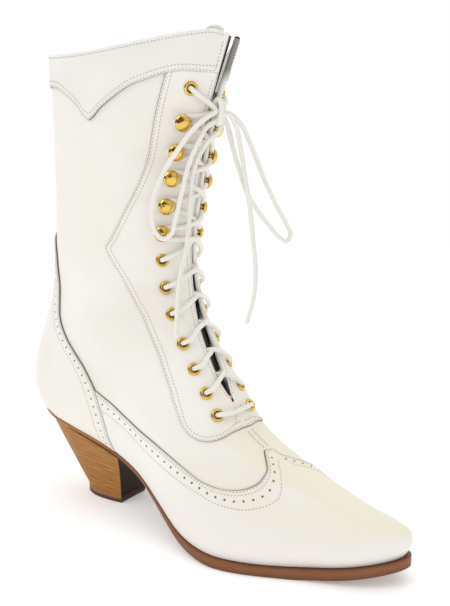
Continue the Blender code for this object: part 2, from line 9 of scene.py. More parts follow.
import bmesh
import bpy
import numpy as np
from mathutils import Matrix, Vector


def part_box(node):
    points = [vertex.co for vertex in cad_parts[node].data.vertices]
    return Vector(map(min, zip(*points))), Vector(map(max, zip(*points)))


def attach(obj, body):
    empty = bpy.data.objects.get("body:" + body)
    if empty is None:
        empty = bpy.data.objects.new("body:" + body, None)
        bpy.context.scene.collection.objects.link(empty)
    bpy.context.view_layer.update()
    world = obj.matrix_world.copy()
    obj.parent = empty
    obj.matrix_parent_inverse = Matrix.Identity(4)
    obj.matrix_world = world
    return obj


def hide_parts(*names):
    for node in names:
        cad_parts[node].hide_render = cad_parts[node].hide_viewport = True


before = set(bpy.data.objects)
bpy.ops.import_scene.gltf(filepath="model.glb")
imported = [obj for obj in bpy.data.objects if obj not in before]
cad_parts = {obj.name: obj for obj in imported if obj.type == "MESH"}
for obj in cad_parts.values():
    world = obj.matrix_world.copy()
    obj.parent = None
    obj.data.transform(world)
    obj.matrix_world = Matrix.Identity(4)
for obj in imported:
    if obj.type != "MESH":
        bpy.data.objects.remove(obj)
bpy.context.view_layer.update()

# Camera, light and floor: the boot stands on a white sheet in even light, and is seen from its
# outer side, turned a third of the way to the toe and from a little above.
MM = 0.001
CAMERA_AT = (0.2217, -0.2933, 0.1898)
CAMERA_TURN = math.radians(34.58)
CAMERA_DOWN = math.radians(8.42)
FRAME_WIDTH = 450
FOCAL_PIXELS = 631.6
SENSOR = 36.0

camera_data = bpy.data.cameras.new("camera")
camera_data.sensor_fit = "HORIZONTAL"
camera_data.sensor_width = SENSOR
camera_data.lens = SENSOR * FOCAL_PIXELS / FRAME_WIDTH
camera = bpy.data.objects.new("camera", camera_data)
bpy.context.collection.objects.link(camera)
camera.location = CAMERA_AT
camera_looks = Vector((-math.sin(CAMERA_TURN) * math.cos(CAMERA_DOWN),
                       math.cos(CAMERA_TURN) * math.cos(CAMERA_DOWN), -math.sin(CAMERA_DOWN)))
camera.rotation_euler = camera_looks.to_track_quat("-Z", "Y").to_euler()
bpy.context.scene.camera = camera
bpy.context.scene.view_settings.view_transform = "Standard"


def soft_box(name, place, aim, size, power, colour):
    """A square area light of one size, at a place and turned to a point."""
    data = bpy.data.lights.new(name, "AREA")
    data.size = size
    data.energy = power
    data.color = colour
    obj = bpy.data.objects.new(name, data)
    bpy.context.collection.objects.link(obj)
    obj.location = place
    obj.rotation_euler = (Vector(aim) - Vector(place)).to_track_quat("-Z", "Y").to_euler()


soft_box("key_light", place=(-0.5, -1.1, 1.3), aim=(0.0, 0.0, 0.12), size=1.0, power=6.0,
         colour=(1.0, 1.0, 1.0))
soft_box("top_light", place=(0.2, 0.2, 1.6), aim=(0.0, 0.0, 0.1), size=1.2, power=4.0,
         colour=(1.0, 0.96, 0.84))


class Term:
    """A node's output as a term of an expression: arithmetic on it adds Math nodes."""

    def __init__(self, nodes, socket):
        self.nodes = nodes
        self.socket = socket

    def math(self, operation, *terms):
        return self.nodes.node("ShaderNodeMath", {"operation": operation},
                                dict(enumerate(terms)))

    def __add__(self, other):
        return self.math("ADD", self, other)

    __radd__ = __add__

    def __sub__(self, other):
        return self.math("SUBTRACT", self, other)

    def __rsub__(self, other):
        return self.math("SUBTRACT", other, self)

    def __mul__(self, other):
        return self.math("MULTIPLY", self, other)

    __rmul__ = __mul__

    def __truediv__(self, other):
        return self.math("DIVIDE", self, other)


class Nodes:
    """A node tree that reads one kind of coordinates, and the nodes added to it."""

    def __init__(self, tree, coordinates):
        self.tree = tree
        self.place = self.node("ShaderNodeTexCoord", outlet=coordinates)

    def put(self, node, sockets):
        """Gives sockets of a node their values, or links them to terms."""
        for key, value in sockets.items():
            if isinstance(value, Term):
                self.tree.links.new(value.socket, node.inputs[key])
            else:
                node.inputs[key].default_value = value

    def node(self, kind, settings=None, sockets=None, outlet=0):
        """A node of a type with its settings, then its sockets, read at one of its outlets."""
        node = self.tree.nodes.new(kind)
        for key, value in (settings or {}).items():
            setattr(node, key, value)
        self.put(node, sockets or {})
        return Term(self, node.outputs[outlet])

    def noise(self, scale, detail=2.0, vector=None):
        return self.node("ShaderNodeTexNoise", None,
                         {"Vector": vector or self.place, "Scale": scale, "Detail": detail})

    def mixed(self, share, first, second):
        return self.node("ShaderNodeMix", {"data_type": "RGBA"},
                         {0: share, 6: first, 7: second}, outlet=2)

    def eased(self, value, low, high):
        """0 below low, 1 above high and a smooth step between."""
        return self.node("ShaderNodeMapRange", {"interpolation_type": "SMOOTHSTEP"},
                         {"Value": value, "From Min": low, "From Max": high})


class Finish(Nodes):
    """A procedural material: one Principled shader and the nodes that feed it."""

    def __init__(self, name):
        self.material = bpy.data.materials.new(name)
        self.material.use_nodes = True
        super().__init__(self.material.node_tree, "Object")
        self.shader = self.tree.nodes["Principled BSDF"]

    def feed(self, **sockets):
        """Sets or links the shader's own sockets, named with underscores for spaces."""
        self.put(self.shader, {key.replace("_", " "): value for key, value in sockets.items()})

    def attribute(self, name):
        return self.node("ShaderNodeAttribute", {"attribute_name": name}, outlet="Fac")

    def axis(self, letter):
        return self.node("ShaderNodeSeparateXYZ", None, {0: self.place}, outlet=letter)

    def stretched(self, scale, turn=(0.0, 0.0, 0.0)):
        return self.node("ShaderNodeMapping", None,
                         {"Vector": self.place, "Rotation": turn, "Scale": scale})

    def coat(self, share, colour):
        """Lays a share of a colour over the colour that the shader has so far."""
        under = Term(self, self.shader.inputs["Base Color"].links[0].from_socket)
        self.feed(Base_Color=self.mixed(share, under, colour))

    def bump(self, height, deep):
        """Dents the surface by a height that reaches so many millimetres."""
        self.feed(Normal=self.node("ShaderNodeBump", None, {"Height": height, "Strength": 1.0,
                                                            "Distance": deep * MM}))


def srgb(red, green, blue):
    """A colour given as on a screen, 0 to 255, as linear red, green, blue and full alpha."""
    share = np.array([red, green, blue]) / 255.0
    linear = np.where(share <= 0.04045, share / 12.92, ((share + 0.055) / 1.055) ** 2.4)
    return (*linear.tolist(), 1.0)


def speckled(name, scale, first, second, detail=2.0, stretch=None, rough=None, deep=None,
             **sockets):
    """A finish whose colour drifts between two by a noise, and with it the roughness, from its
    least by how much it grows, and a bump so many millimetres deep."""
    finish = Finish(name)
    speckle = finish.noise(scale, detail, stretch and finish.stretched(stretch))
    if rough:
        sockets["Roughness"] = rough[0] + rough[1] * speckle
    if deep:
        finish.bump(speckle, deep)
    finish.feed(Base_Color=finish.mixed(speckle, first, second), **sockets)
    return finish


WHITE = (1.0, 1.0, 1.0, 1.0)
SHEET_LIGHT = 1.0
ROOM_LIGHT = 0.80
ROOM_DARK = 0.66        # the room is darker by this on the camera's side, where it isn't lit
DARK_SHARE = 0.75       # and matt surfaces meet this share of it
DARK_SIDE = (-0.15, -0.98, 0.1)
DARK_FRONT = (-0.10, -0.98, -0.15)
world = bpy.data.worlds.new("white_room")
world.use_nodes = True
bpy.context.scene.world = world
room = Nodes(world.node_tree, "Generated")


def towards(way, low, high):
    """Share of the room towards a way: 0 where the cosine to it is low, 1 where it is high."""
    cosine = room.node("ShaderNodeVectorMath", {"operation": "DOT_PRODUCT"},
                       {0: room.place, 1: way}, outlet="Value")
    return room.eased(cosine, low, high)


room_sheet = towards(tuple(camera_looks), low=0.1, high=0.7)
room_side = towards(DARK_SIDE, low=0.78, high=0.92)
room_front = towards(DARK_FRONT, low=0.30, high=0.70)
room_shine = room.node("ShaderNodeLightPath", outlet="Is Glossy Ray")
room_dark = 1 - (1 - DARK_SHARE * room_side) * (1 - room_shine * room_front)
room.put(world.node_tree.nodes["Background"],
         {"Color": WHITE, "Strength": ROOM_LIGHT + (SHEET_LIGHT - ROOM_LIGHT) * room_sheet
          - ROOM_DARK * room_dark})

FLOOR_HALF = 4.0
PAPER_TOOTH = 400.0
paper = speckled("white_paper", PAPER_TOOTH, srgb(246, 246, 246), srgb(250, 250, 250),
                 Roughness=0.9, Specular_IOR_Level=0.1, Emission_Color=WHITE,
                 Emission_Strength=0.24)
floor_mesh = bpy.data.meshes.new("floor")
floor_mesh.from_pydata([(x * FLOOR_HALF, y * FLOOR_HALF, 0.0)
                        for x, y in ((-1, -1), (1, -1), (1, 1), (-1, 1))], [], [(0, 1, 2, 3)])
floor_mesh.materials.append(paper.material)
floor = bpy.data.objects.new("floor", floor_mesh)
bpy.context.collection.objects.link(floor)

# Quarters and vamp: the white leather that the other panels are sewn onto, lasted over the foot
# and the ankle, closed at the back and over the instep and open in front from the throat up.
UPPER_COLUMNS = ("back_x", "back_z", "front_x", "front_z", "heel", "waist", "ball", "toe",
                 "round_back", "round_front", "follow", "point", "inner", "dip")
UPPER_ROWS = np.array((
    (4.8, 56.6, 256.5, 15.5, 26.5, 23.0, 37.5, 19.5, 0.13, 0.14, 1.00, 0.50, 1.00, 0.0),
    (2.4, 61.0, 259.5, 21.0, 29.5, 25.0, 38.5, 22.0, 0.13, 0.15, 0.95, 0.50, 1.00, 0.0),
    (1.0, 67.0, 258.0, 27.2, 32.0, 27.5, 38.0, 22.5, 0.14, 0.18, 0.90, 0.50, 1.00, 0.0),
    (0.0, 75.0, 249.5, 34.2, 33.0, 29.0, 36.5, 22.0, 0.15, 0.24, 0.80, 0.50, 1.00, 0.0),
    (0.3, 85.0, 234.0, 41.6, 33.5, 29.5, 34.5, 21.5, 0.17, 0.32, 0.66, 0.44, 0.85, 0.0),
    (3.0, 97.5, 200.0, 55.3, 33.0, 30.0, 32.0, 24.5, 0.21, 0.40, 0.48, 0.29, 0.60, 0.0),
    (7.2, 111.0, 167.0, 71.0, 31.5, 30.0, 30.5, 27.0, 0.27, 0.47, 0.30, 0.26, 0.45, 0.0),
    (11.8, 125.5, 153.0, 86.0, 30.0, 30.0, 30.5, 28.0, 0.32, 0.52, 0.16, 0.29, 0.45, 0.0),
    (15.5, 139.0, 142.5, 104.5, 28.5, 30.0, 30.5, 29.0, 0.37, 0.54, 0.06, 0.45, 0.75, 0.0),
    (17.5, 154.0, 132.0, 134.0, 28.0, 29.5, 30.5, 29.5, 0.42, 0.56, 0.00, 0.66, 0.95, 0.0),
    (18.5, 175.5, 127.5, 170.0, 29.0, 32.0, 32.0, 30.5, 0.48, 0.58, 0.00, 0.72, 1.00, 0.0),
    (21.0, 203.5, 133.0, 206.0, 32.5, 37.0, 37.0, 35.5, 0.50, 0.60, 0.00, 0.74, 1.00, 0.5),
    (24.5, 239.0, 141.5, 242.5, 37.0, 41.0, 42.0, 40.5, 0.46, 0.60, 0.00, 0.72, 1.00, 1.5),
    (25.5, 285.0, 156.5, 280.0, 39.0, 45.0, 45.5, 44.0, 0.43, 0.60, 0.00, 0.70, 1.00, 10.0),
))
HALF_WIDTH_STATIONS = np.array((0.12, 0.38, 0.64, 0.86, 1.0))
TIP_FALL = 0.35         # the last half width continues the narrowing from ball to toe this far
DIP = np.array(((0.0, 0.0), (0.2, 0.65), (0.45, 1.02), (0.6, 0.85), (0.78, 0.38), (0.9, -0.03),
                (0.96, -0.18), (1.0, 0.0)))
THROAT_ROW = 6.85
COLLAR_ROW = 13.0
FEATHER = np.array(((0.0, 64.3), (20.0, 59.6), (50.0, 51.4), (80.0, 42.0), (100.0, 33.0),
                    (120.0, 21.0), (140.0, 11.0), (160.0, 7.0), (180.0, 6.1), (205.0, 6.3),
                    (232.0, 9.5), (264.0, 17.0)))
HALF_GAP = np.array(((6.85, 0.0), (7.05, 1.0), (7.3, 2.4), (7.7, 4.2), (8.2, 4.8), (8.8, 4.4),
                     (9.3, 3.4), (9.7, 2.6), (10.4, 2.2), (11.2, 2.4), (11.8, 3.7), (12.4, 4.2),
                     (13.0, 4.8)))
SWING_FROM = 168.0
SWING_OVER = 108.0
SWING = 10.0
INNER_FULLNESS = 0.18
FULLEST_X = 216.0
FULL_OVER = 24.0
BOOT_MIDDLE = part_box("outsole")[1][0] / MM
OUTER, INNER = -1, 1
SIDES = (OUTER, INNER)
INSIDE_BOOT = np.array((90.0, 0.0, 60.0))


def hermite(x, y, at):
    """Cubic through (x, y), its slope at each point the weighted mean of those beside it. Each y
    is a number, or an array of the shape of `at`."""
    at = np.clip(np.asarray(at, float), x[0], x[-1])
    i = np.clip(np.searchsorted(x, at, side="right") - 1, 0, len(x) - 2)
    step = np.diff(x)
    s = (at - x[i]) / step[i]
    wide = step.reshape(-1, *[1] * (y.ndim - 1))
    slope = np.diff(y, axis=0) / wide
    share = wide[:-1] / (wide[:-1] + wide[1:])
    inner = slope[:-1] * (1 - share) + slope[1:] * share
    tangent = np.concatenate([slope[:1], inner, slope[-1:]])
    low, high, leaves, arrives = (
        values[k] if y.ndim == 1 else np.take_along_axis(values, k[None], 0)[0]
        for values, k in ((y, i), (y, i + 1), (tangent, i), (tangent, i + 1)))
    return ((2 * s**3 - 3 * s**2 + 1) * low + (s**3 - 2 * s**2 + s) * step[i] * leaves
            + (3 * s**2 - 2 * s**3) * high + (s**3 - s**2) * step[i] * arrives)


def curve(table, at, column=1):
    """The cubic through a column of a table, over its first one."""
    return hermite(table[:, 0], table[:, column], at)


def feather_z(x):
    """Height of the line where the upper meets the sole, along the foot."""
    return curve(FEATHER, x)


def half_gap(row):
    return curve(HALF_GAP, row)


def slice_at(row):
    """The columns of the upper's table at fractional rows, by name."""
    at = np.arange(len(UPPER_ROWS), dtype=float)
    return {name: hermite(at, UPPER_ROWS[:, k], row) for k, name in enumerate(UPPER_COLUMNS)}


def half_width(cut, t, side):
    """Half width at shares t of a slice: the cubic through its five widths, closed at the back as
    a circle and at the front as a circle raised to the slice's point."""
    widths = [cut["heel"], cut["waist"], cut["ball"], cut["toe"],
              cut["toe"] - TIP_FALL * (cut["ball"] - cut["toe"])]
    t, *widths = np.broadcast_arrays(t, *widths)
    body = hermite(HALF_WIDTH_STATIONS, np.stack(widths), t)
    back = 1 - np.clip(t / cut["round_back"], 0, 1)
    front = 1 - np.clip((1 - t) / cut["round_front"], 0, 1)
    point = cut["point"] * (cut["inner"] if side == INNER else 1.0)
    return body * np.sqrt(1 - back**2) * np.maximum(1 - front**2, 0) ** point


def side_view(cut, t):
    """x and z of a slice: its chord from back seam to ridge, dipped in the middle, and raised
    with the sole's curve as far as the slice follows it."""
    sole = UPPER_ROWS[0]
    x = cut["back_x"] + (cut["front_x"] - cut["back_x"]) * t
    dip = cut["dip"] * curve(DIP, t)
    chord = cut["back_z"] + (cut["front_z"] - cut["back_z"]) * t - dip
    sole_chord = sole[1] + (sole[3] - sole[1]) * (x - sole[0]) / (sole[2] - sole[0])
    return x, chord + cut["follow"] * (feather_z(x) - sole_chord)


def leather(row, t, side):
    """Points of the upper's outer face: the side view of each slice, set out by its half width
    from a centre line that swings inwards at the toe, where the inner side is fuller."""
    row, t = np.broadcast_arrays(np.asarray(row, float), np.asarray(t, float))
    cut = slice_at(row)
    x, z = side_view(cut, t)
    centre = SWING * (np.maximum(x - SWING_FROM, 0) / SWING_OVER) ** 2
    fuller = 1 + INNER_FULLNESS * np.exp(-((x - FULLEST_X) / FULL_OVER) ** 2) * (side == INNER)
    return np.stack([x, centre + side * fuller * half_width(cut, t, side), z], axis=-1)


FRONT_SHARES = 1.0 - 0.5 * np.linspace(0, 1, 600) ** 4


def near_share(row, out, side):
    """Shares t of the slices where the front part is a distance out from the centre line, read
    on steps that close up at the ridge."""
    widths = half_width(slice_at(np.asarray(row)[:, None]), FRONT_SHARES[None], side)
    return np.array([np.interp(o, width, FRONT_SHARES) for o, width in zip(out, widths)])


def way_along(points):
    """How far along its line each point lies, for one line or a stack of lines."""
    steps = np.linalg.norm(np.diff(points, axis=-2), axis=-1)
    return np.concatenate([np.zeros_like(steps[..., :1]), np.cumsum(steps, axis=-1)], axis=-1)


def close_ends(count):
    """Shares from 0 to 1 that lie closer together towards both ends."""
    return 0.5 - 0.5 * np.cos(np.linspace(0, math.pi, count))


ROUND_STEPS = 321
CLOSER_IN_FRONT = 1.6


def share_table(side, rows, arcs):
    """Shares t of the slices where the way round the leather, from the back seam to the facing's
    edge or the ridge, is an even fraction of the whole."""
    ends = near_share(rows, half_gap(rows), side)
    t = ends[:, None] * (1 - (1 - close_ends(ROUND_STEPS)) ** CLOSER_IN_FRONT)
    way = way_along(leather(rows[:, None], t, side))
    return np.array([np.interp(arcs, w / w[-1], s) for w, s in zip(way, t)])


TABLE_ROWS = np.linspace(0.0, COLLAR_ROW, 261)
TABLE_ARCS = np.linspace(0.0, 1.0, 161)
SHARES = {side: share_table(side, TABLE_ROWS, TABLE_ARCS) for side in SIDES}


def on_leather(row, arc, side):
    """Points of the upper at rows and at even shares of the way from the back to the front."""
    row, arc = np.broadcast_arrays(np.asarray(row, float), np.asarray(arc, float))
    down = np.clip(row / COLLAR_ROW, 0, 1) * (len(TABLE_ROWS) - 1)
    along = np.clip(arc, 0, 1) * (len(TABLE_ARCS) - 1)
    i = np.minimum(down.astype(int), len(TABLE_ROWS) - 2)
    j = np.minimum(along.astype(int), len(TABLE_ARCS) - 2)
    f, g = down - i, along - j
    table = SHARES[side]
    t = ((1 - f) * ((1 - g) * table[i, j] + g * table[i, j + 1])
         + f * ((1 - g) * table[i + 1, j] + g * table[i + 1, j + 1]))
    return leather(row, t, side)


def unit(vectors):
    return vectors / (np.linalg.norm(vectors, axis=-1, keepdims=True) + 1e-9)


def out_of(grid):
    """Unit normals of a grid of points: across its two directions, turned away from the inside."""
    normal = unit(np.cross(np.gradient(grid, axis=0), np.gradient(grid, axis=1)))
    return normal * np.sign(np.sum(normal * (grid - INSIDE_BOOT)))


# Soft troughs pressed into the leather by wear: ends in side view, half width and depth, and side.
CREASES = (
    ((90.0, 150.0), (118.0, 144.0), 5.0, 0.9, OUTER),
    ((94.0, 172.0), (116.0, 178.0), 4.5, 0.8, OUTER),
    ((60.0, 128.0), (96.0, 138.0), 7.0, 0.8, OUTER),
    ((112.0, 96.0), (130.0, 106.0), 5.0, 0.6, OUTER),
    ((140.0, 57.0), (170.0, 50.0), 6.0, 0.7, OUTER),
    ((90.0, 150.0), (118.0, 146.0), 5.0, 0.9, INNER),
    ((62.0, 130.0), (98.0, 140.0), 7.0, 0.8, INNER),
    ((142.0, 57.0), (174.0, 50.0), 6.0, 0.7, INNER),
    ((106.0, 200.0), (117.0, 195.0), 5.0, 1.1, OUTER),
    ((111.0, 223.0), (120.0, 219.0), 5.0, 0.9, OUTER),
)


def creased(points):
    """Depth of the creases at points: a bell across each crease's line, faded to its ends."""
    depth = np.zeros(points.shape[:-1])
    flat = points[..., [0, 2]]
    for start, end, width, deep, side in CREASES:
        along = np.subtract(end, start)
        share = np.sum((flat - start) * along, axis=-1) / np.dot(along, along)
        near = np.clip(share, 0, 1)[..., None] * along + start
        away = np.sum((flat - near) ** 2, axis=-1) / width**2
        depth += deep * np.exp(-away) * (points[..., 1] * side > 0)
    return depth


def raised(grid, lift):
    """A grid of leather moved out of its face by a lift, less the creases there."""
    return grid + out_of(grid) * (lift - creased(grid))[..., None]


def grid_faces(index):
    """Quads between neighbouring rows and columns of a grid, or a stack of grids, of vertices."""
    return np.stack([index[..., :-1, :-1], index[..., :-1, 1:], index[..., 1:, 1:],
                     index[..., 1:, :-1]], axis=-1).reshape(-1, 4).tolist()


def numbered(grid):
    return np.arange(grid.size // 3).reshape(grid.shape[:-1])


def meshed(grid):
    """Points and faces of a grid."""
    return grid.reshape(-1, 3), grid_faces(numbered(grid))


def piece(name, points, faces, finish, slot="white_leather", nodes=("upper",), values=None,
          closed=False):
    """A smooth mesh of points in millimetres that rides on the boot and stands for CAD nodes.
    A closed one has its faces turned outwards; an open one has them turned from the inside."""
    mesh = bpy.data.meshes.new(name)
    mesh.from_pydata(((points - (BOOT_MIDDLE, 0.0, 0.0)) * MM).tolist(), [], faces)
    for key, numbers in (values or {}).items():
        mesh.attributes.new(key, "FLOAT", "POINT").data.foreach_set(
            "value", np.asarray(numbers, np.float32).ravel())
    work = bmesh.new()
    work.from_mesh(mesh)
    bmesh.ops.remove_doubles(work, verts=work.verts[:], dist=1e-6)
    if closed:
        bmesh.ops.recalc_face_normals(work, faces=work.faces[:])
    else:
        inside = (Vector(INSIDE_BOOT) - Vector((BOOT_MIDDLE, 0.0, 0.0))) * MM
        if sum(f.normal.dot(f.calc_center_median() - inside) * f.calc_area()
               for f in work.faces) < 0:
            bmesh.ops.reverse_faces(work, faces=work.faces[:])
    work.to_mesh(mesh)
    work.free()
    mesh.shade_smooth()
    mesh.materials.append(finish.material)
    obj = bpy.data.objects.new(name, mesh)
    bpy.context.collection.objects.link(obj)
    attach(obj, "root")
    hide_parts(*nodes)
    return obj


# The grey of the leather's cut edges, also painted on the bound edges as shade where they meet at the
# throat.
CUT_EDGE_AND_SHADE = srgb(84, 77, 70)
TOP_LIGHT_CREAM = srgb(236, 231, 213)
TOP_LIGHT_FROM = 0.38       # a cream tint is painted on as warm top light where the leather faces up by more than this share
TOP_LIGHT_OVER = 0.42


def white_leather(name, light, shade):
    """Smooth finished leather: a slow drift between two whites, a cream tint painted on as warm top
    light where it faces up, a fine grain, and a grey cut edge where the piece's attributes say so,
    also painted on as shade where the bound edges meet at the throat."""
    finish = Finish(name)
    drift = finish.eased(finish.noise(scale=16.0, detail=3.0), 0.35, 0.65)
    grain = finish.noise(scale=1500.0, detail=3.0)
    pores = finish.node("ShaderNodeTexVoronoi", None, {"Vector": finish.place, "Scale": 900.0})
    finish.feed(Base_Color=finish.mixed(drift, light, shade), Roughness=0.40 + 0.14 * grain,
                Specular_IOR_Level=0.45)
    # A cream tint painted on as warm light from above, where the leather faces up.
    finish.coat(finish.attribute("painted_top_light"), TOP_LIGHT_CREAM)
    # The grey cut edge, and painted shade on the bound edges at the throat.
    finish.coat(finish.attribute("cut_edge_and_shade"), CUT_EDGE_AND_SHADE)
    finish.bump(0.6 * grain + 0.4 * pores, deep=0.05)
    return finish


def facing_up(grid):
    """How far a grid of points faces up, for the painted warm top light: 0 at the sides, 1 on the top
    of the vamp.
    """
    return np.clip((out_of(grid)[..., 2] - TOP_LIGHT_FROM) / TOP_LIGHT_OVER, 0, 1)


def round_boot(rows, arcs):
    """The upper from one edge of its opening round the back to the other, at rows and arcs."""
    outer, inner = (on_leather(rows[:, None], arcs, side) for side in SIDES)
    return np.concatenate([outer[:, ::-1], inner[:, 1:]], axis=1)


BASE_LIFT = -0.45
quarter_leather = white_leather("quarter_leather", srgb(243, 240, 234), srgb(238, 234, 226))
base_rows = np.linspace(0.0, COLLAR_ROW, 181)
base_grid = raised(round_boot(base_rows, np.linspace(0.0, 1.0, 121)), BASE_LIFT)
below_throat = base_rows <= THROAT_ROW
ridge = (base_grid[below_throat, 0] + base_grid[below_throat, -1]) / 2
base_grid[below_throat, 0] = ridge
base_grid[below_throat, -1] = ridge
piece("quarters_and_vamp", *meshed(base_grid), quarter_leather,
      values={"painted_top_light": facing_up(base_grid)})

# Wing, counter, facings and collar band: white leather cut to shape and sewn over the quarters,
# each with a thin skived edge that shows as a fine dark line.
WING_BACK = ((68.0, 81.5), (74.2, 80.0), (81.0, 77.0), (87.0, 74.4), (97.0, 69.4), (108.0, 64.5),
             (121.5, 59.2), (134.3, 53.3))
WING = {
    OUTER: WING_BACK + ((144.8, 48.2), (154.8, 43.6), (163.7, 41.3), (172.6, 40.7), (179.0, 41.9),
                        (183.4, 44.4)),
    INNER: WING_BACK + ((146.0, 48.0), (155.0, 45.0), (164.0, 42.5), (176.0, 41.0), (185.0, 41.0),
                        (193.0, 42.5)),
}
# Ends of seams near the front ridge, as rows of the upper and distances from the centre line.
WING_FRONT = {
    OUTER: ((4.79, 18.5), (5.09, 15.8), (5.22, 14.0), (5.39, 11.0), (5.53, 7.2), (5.62, 2.5),
            (5.6, 0.0)),
    INNER: ((4.75, 16.8), (4.97, 14.6), (5.12, 12.2), (5.22, 9.8), (5.35, 6.5), (5.46, 2.8),
            (5.6, 0.0)),
}
WING_SOLE_X = (80.0, 150.0, 206.0, 240.0, 256.5)
WING_SOLE_AT = (0.0, 0.45, 0.72, 0.90, 1.0)
COUNTER = ((82.0, 40.6), (82.1, 49.3), (80.9, 59.4), (77.7, 69.8), (73.4, 80.5), (69.4, 86.8),
           (64.4, 93.7), (57.7, 101.0), (50.7, 109.0), (45.3, 116.0), (41.0, 123.0), (39.0, 133.0),
           (37.4, 144.0), (33.2, 154.5), (30.0, 163.0), (25.5, 171.0), (19.6, 177.5))
FACING = ((129.5, 264.0), (128.2, 260.6), (124.6, 251.8), (120.7, 241.3), (117.0, 229.0),
          (114.0, 218.5), (107.5, 204.0), (98.0, 188.4), (91.7, 178.0), (86.4, 170.2),
          (84.6, 167.6), (85.6, 165.0), (92.0, 154.0), (101.4, 138.0), (106.4, 130.5),
          (113.0, 118.0), (118.7, 107.7), (124.2, 96.3), (129.0, 85.5), (133.4, 75.7),
          (138.8, 67.6), (144.8, 63.4), (151.7, 62.0))
FACING_FRONT = {
    OUTER: ((5.75, 20.5), (5.94, 17.2), (6.1, 12.5), (6.15, 4.2), (6.14, 0.0)),
    INNER: ((5.85, 21.8), (6.04, 18.5), (6.13, 13.2), (6.12, 5.5), (6.13, 0.0)),
}
FACING_EDGE_ROWS = (12.7, 9.9, 7.4, THROAT_ROW)
FACING_EDGE_AT = (0.0, 0.42, 0.82, 1.0)
COLLAR = ((25.0, 263.5), (38.0, 263.0), (52.0, 260.0), (63.0, 257.0), (72.0, 252.0),
          (79.0, 246.5), (84.5, 239.6), (86.2, 238.4), (88.0, 239.2), (94.0, 244.0), (101.0, 248.5),
          (112.0, 255.0), (120.0, 258.0), (127.0, 260.5), (136.0, 262.2), (142.0, 262.1),
          (150.0, 262.0))
SEAM_STEPS = 241
SKIVED = (0.0, 0.12, 0.3, 0.6, 1.0, 1.6, 2.4, 3.4)
SKIVED_SHARE = 0.6      # these close steps take up no more of the panel than this
SKIVED_OVER = 0.7       # the panel reaches its full thickness this far from its cut edge
CUT_SHOWS = 0.5         # the grey cut edge fades this far in
CUT_FULL = 0.15         # and is full over this share of it
TUCK = 0.35             # the cut edge starts this far under the face of the leather below
BESIDE = np.array((-0.4, 0.0, 0.4))     # steps to the lines beside one, for the way out of it


def smooth_line(points, count):
    """Even steps along the cubic through points, over the length of their chords."""
    line = np.array(points, float)
    way = way_along(line)
    read = np.linspace(0.0, way[-1], count)
    return np.column_stack([hermite(way, line[:, k], read) for k in range(line.shape[1])])


def arc_of(row, t, side):
    """Shares t read back as arcs, blended between the two rows of the table beside them."""
    down = row / COLLAR_ROW * (len(TABLE_ROWS) - 1)
    i = np.minimum(down.astype(int), len(TABLE_ROWS) - 2)
    low, high = (np.array([np.interp(s, SHARES[side][k], TABLE_ARCS) for k, s in zip(j, t)])
                 for j in (i, i + 1))
    return low + (high - low) * (down - i)


def seam(points, side, front=()):
    """Rows and arcs of a sewn line: for points in side view the row is halved down on until the
    slice passes through them, those near the ridge are added, and a cubic goes through all."""
    x, z = np.array(points, float).T
    low = np.zeros(len(x))
    high = np.full(len(x), COLLAR_ROW)
    for _ in range(40):
        row = (low + high) / 2
        cut = slice_at(row)
        t = np.clip((x - cut["back_x"]) / (cut["front_x"] - cut["back_x"]), 0, 1)
        below = side_view(cut, t)[1] < z
        low = np.where(below, row, low)
        high = np.where(below, high, row)
    if front:
        front_row, out = np.array(front).T
        row = np.concatenate([row, front_row])
        t = np.concatenate([t, near_share(front_row, out, side)])
    arc = arc_of(row, t, side)
    way = way_along(on_leather(row, arc, side))
    read = np.linspace(0.0, way[-1], SEAM_STEPS)
    return hermite(way, row, read), hermite(way, arc, read)


PANEL_BASE = -0.3


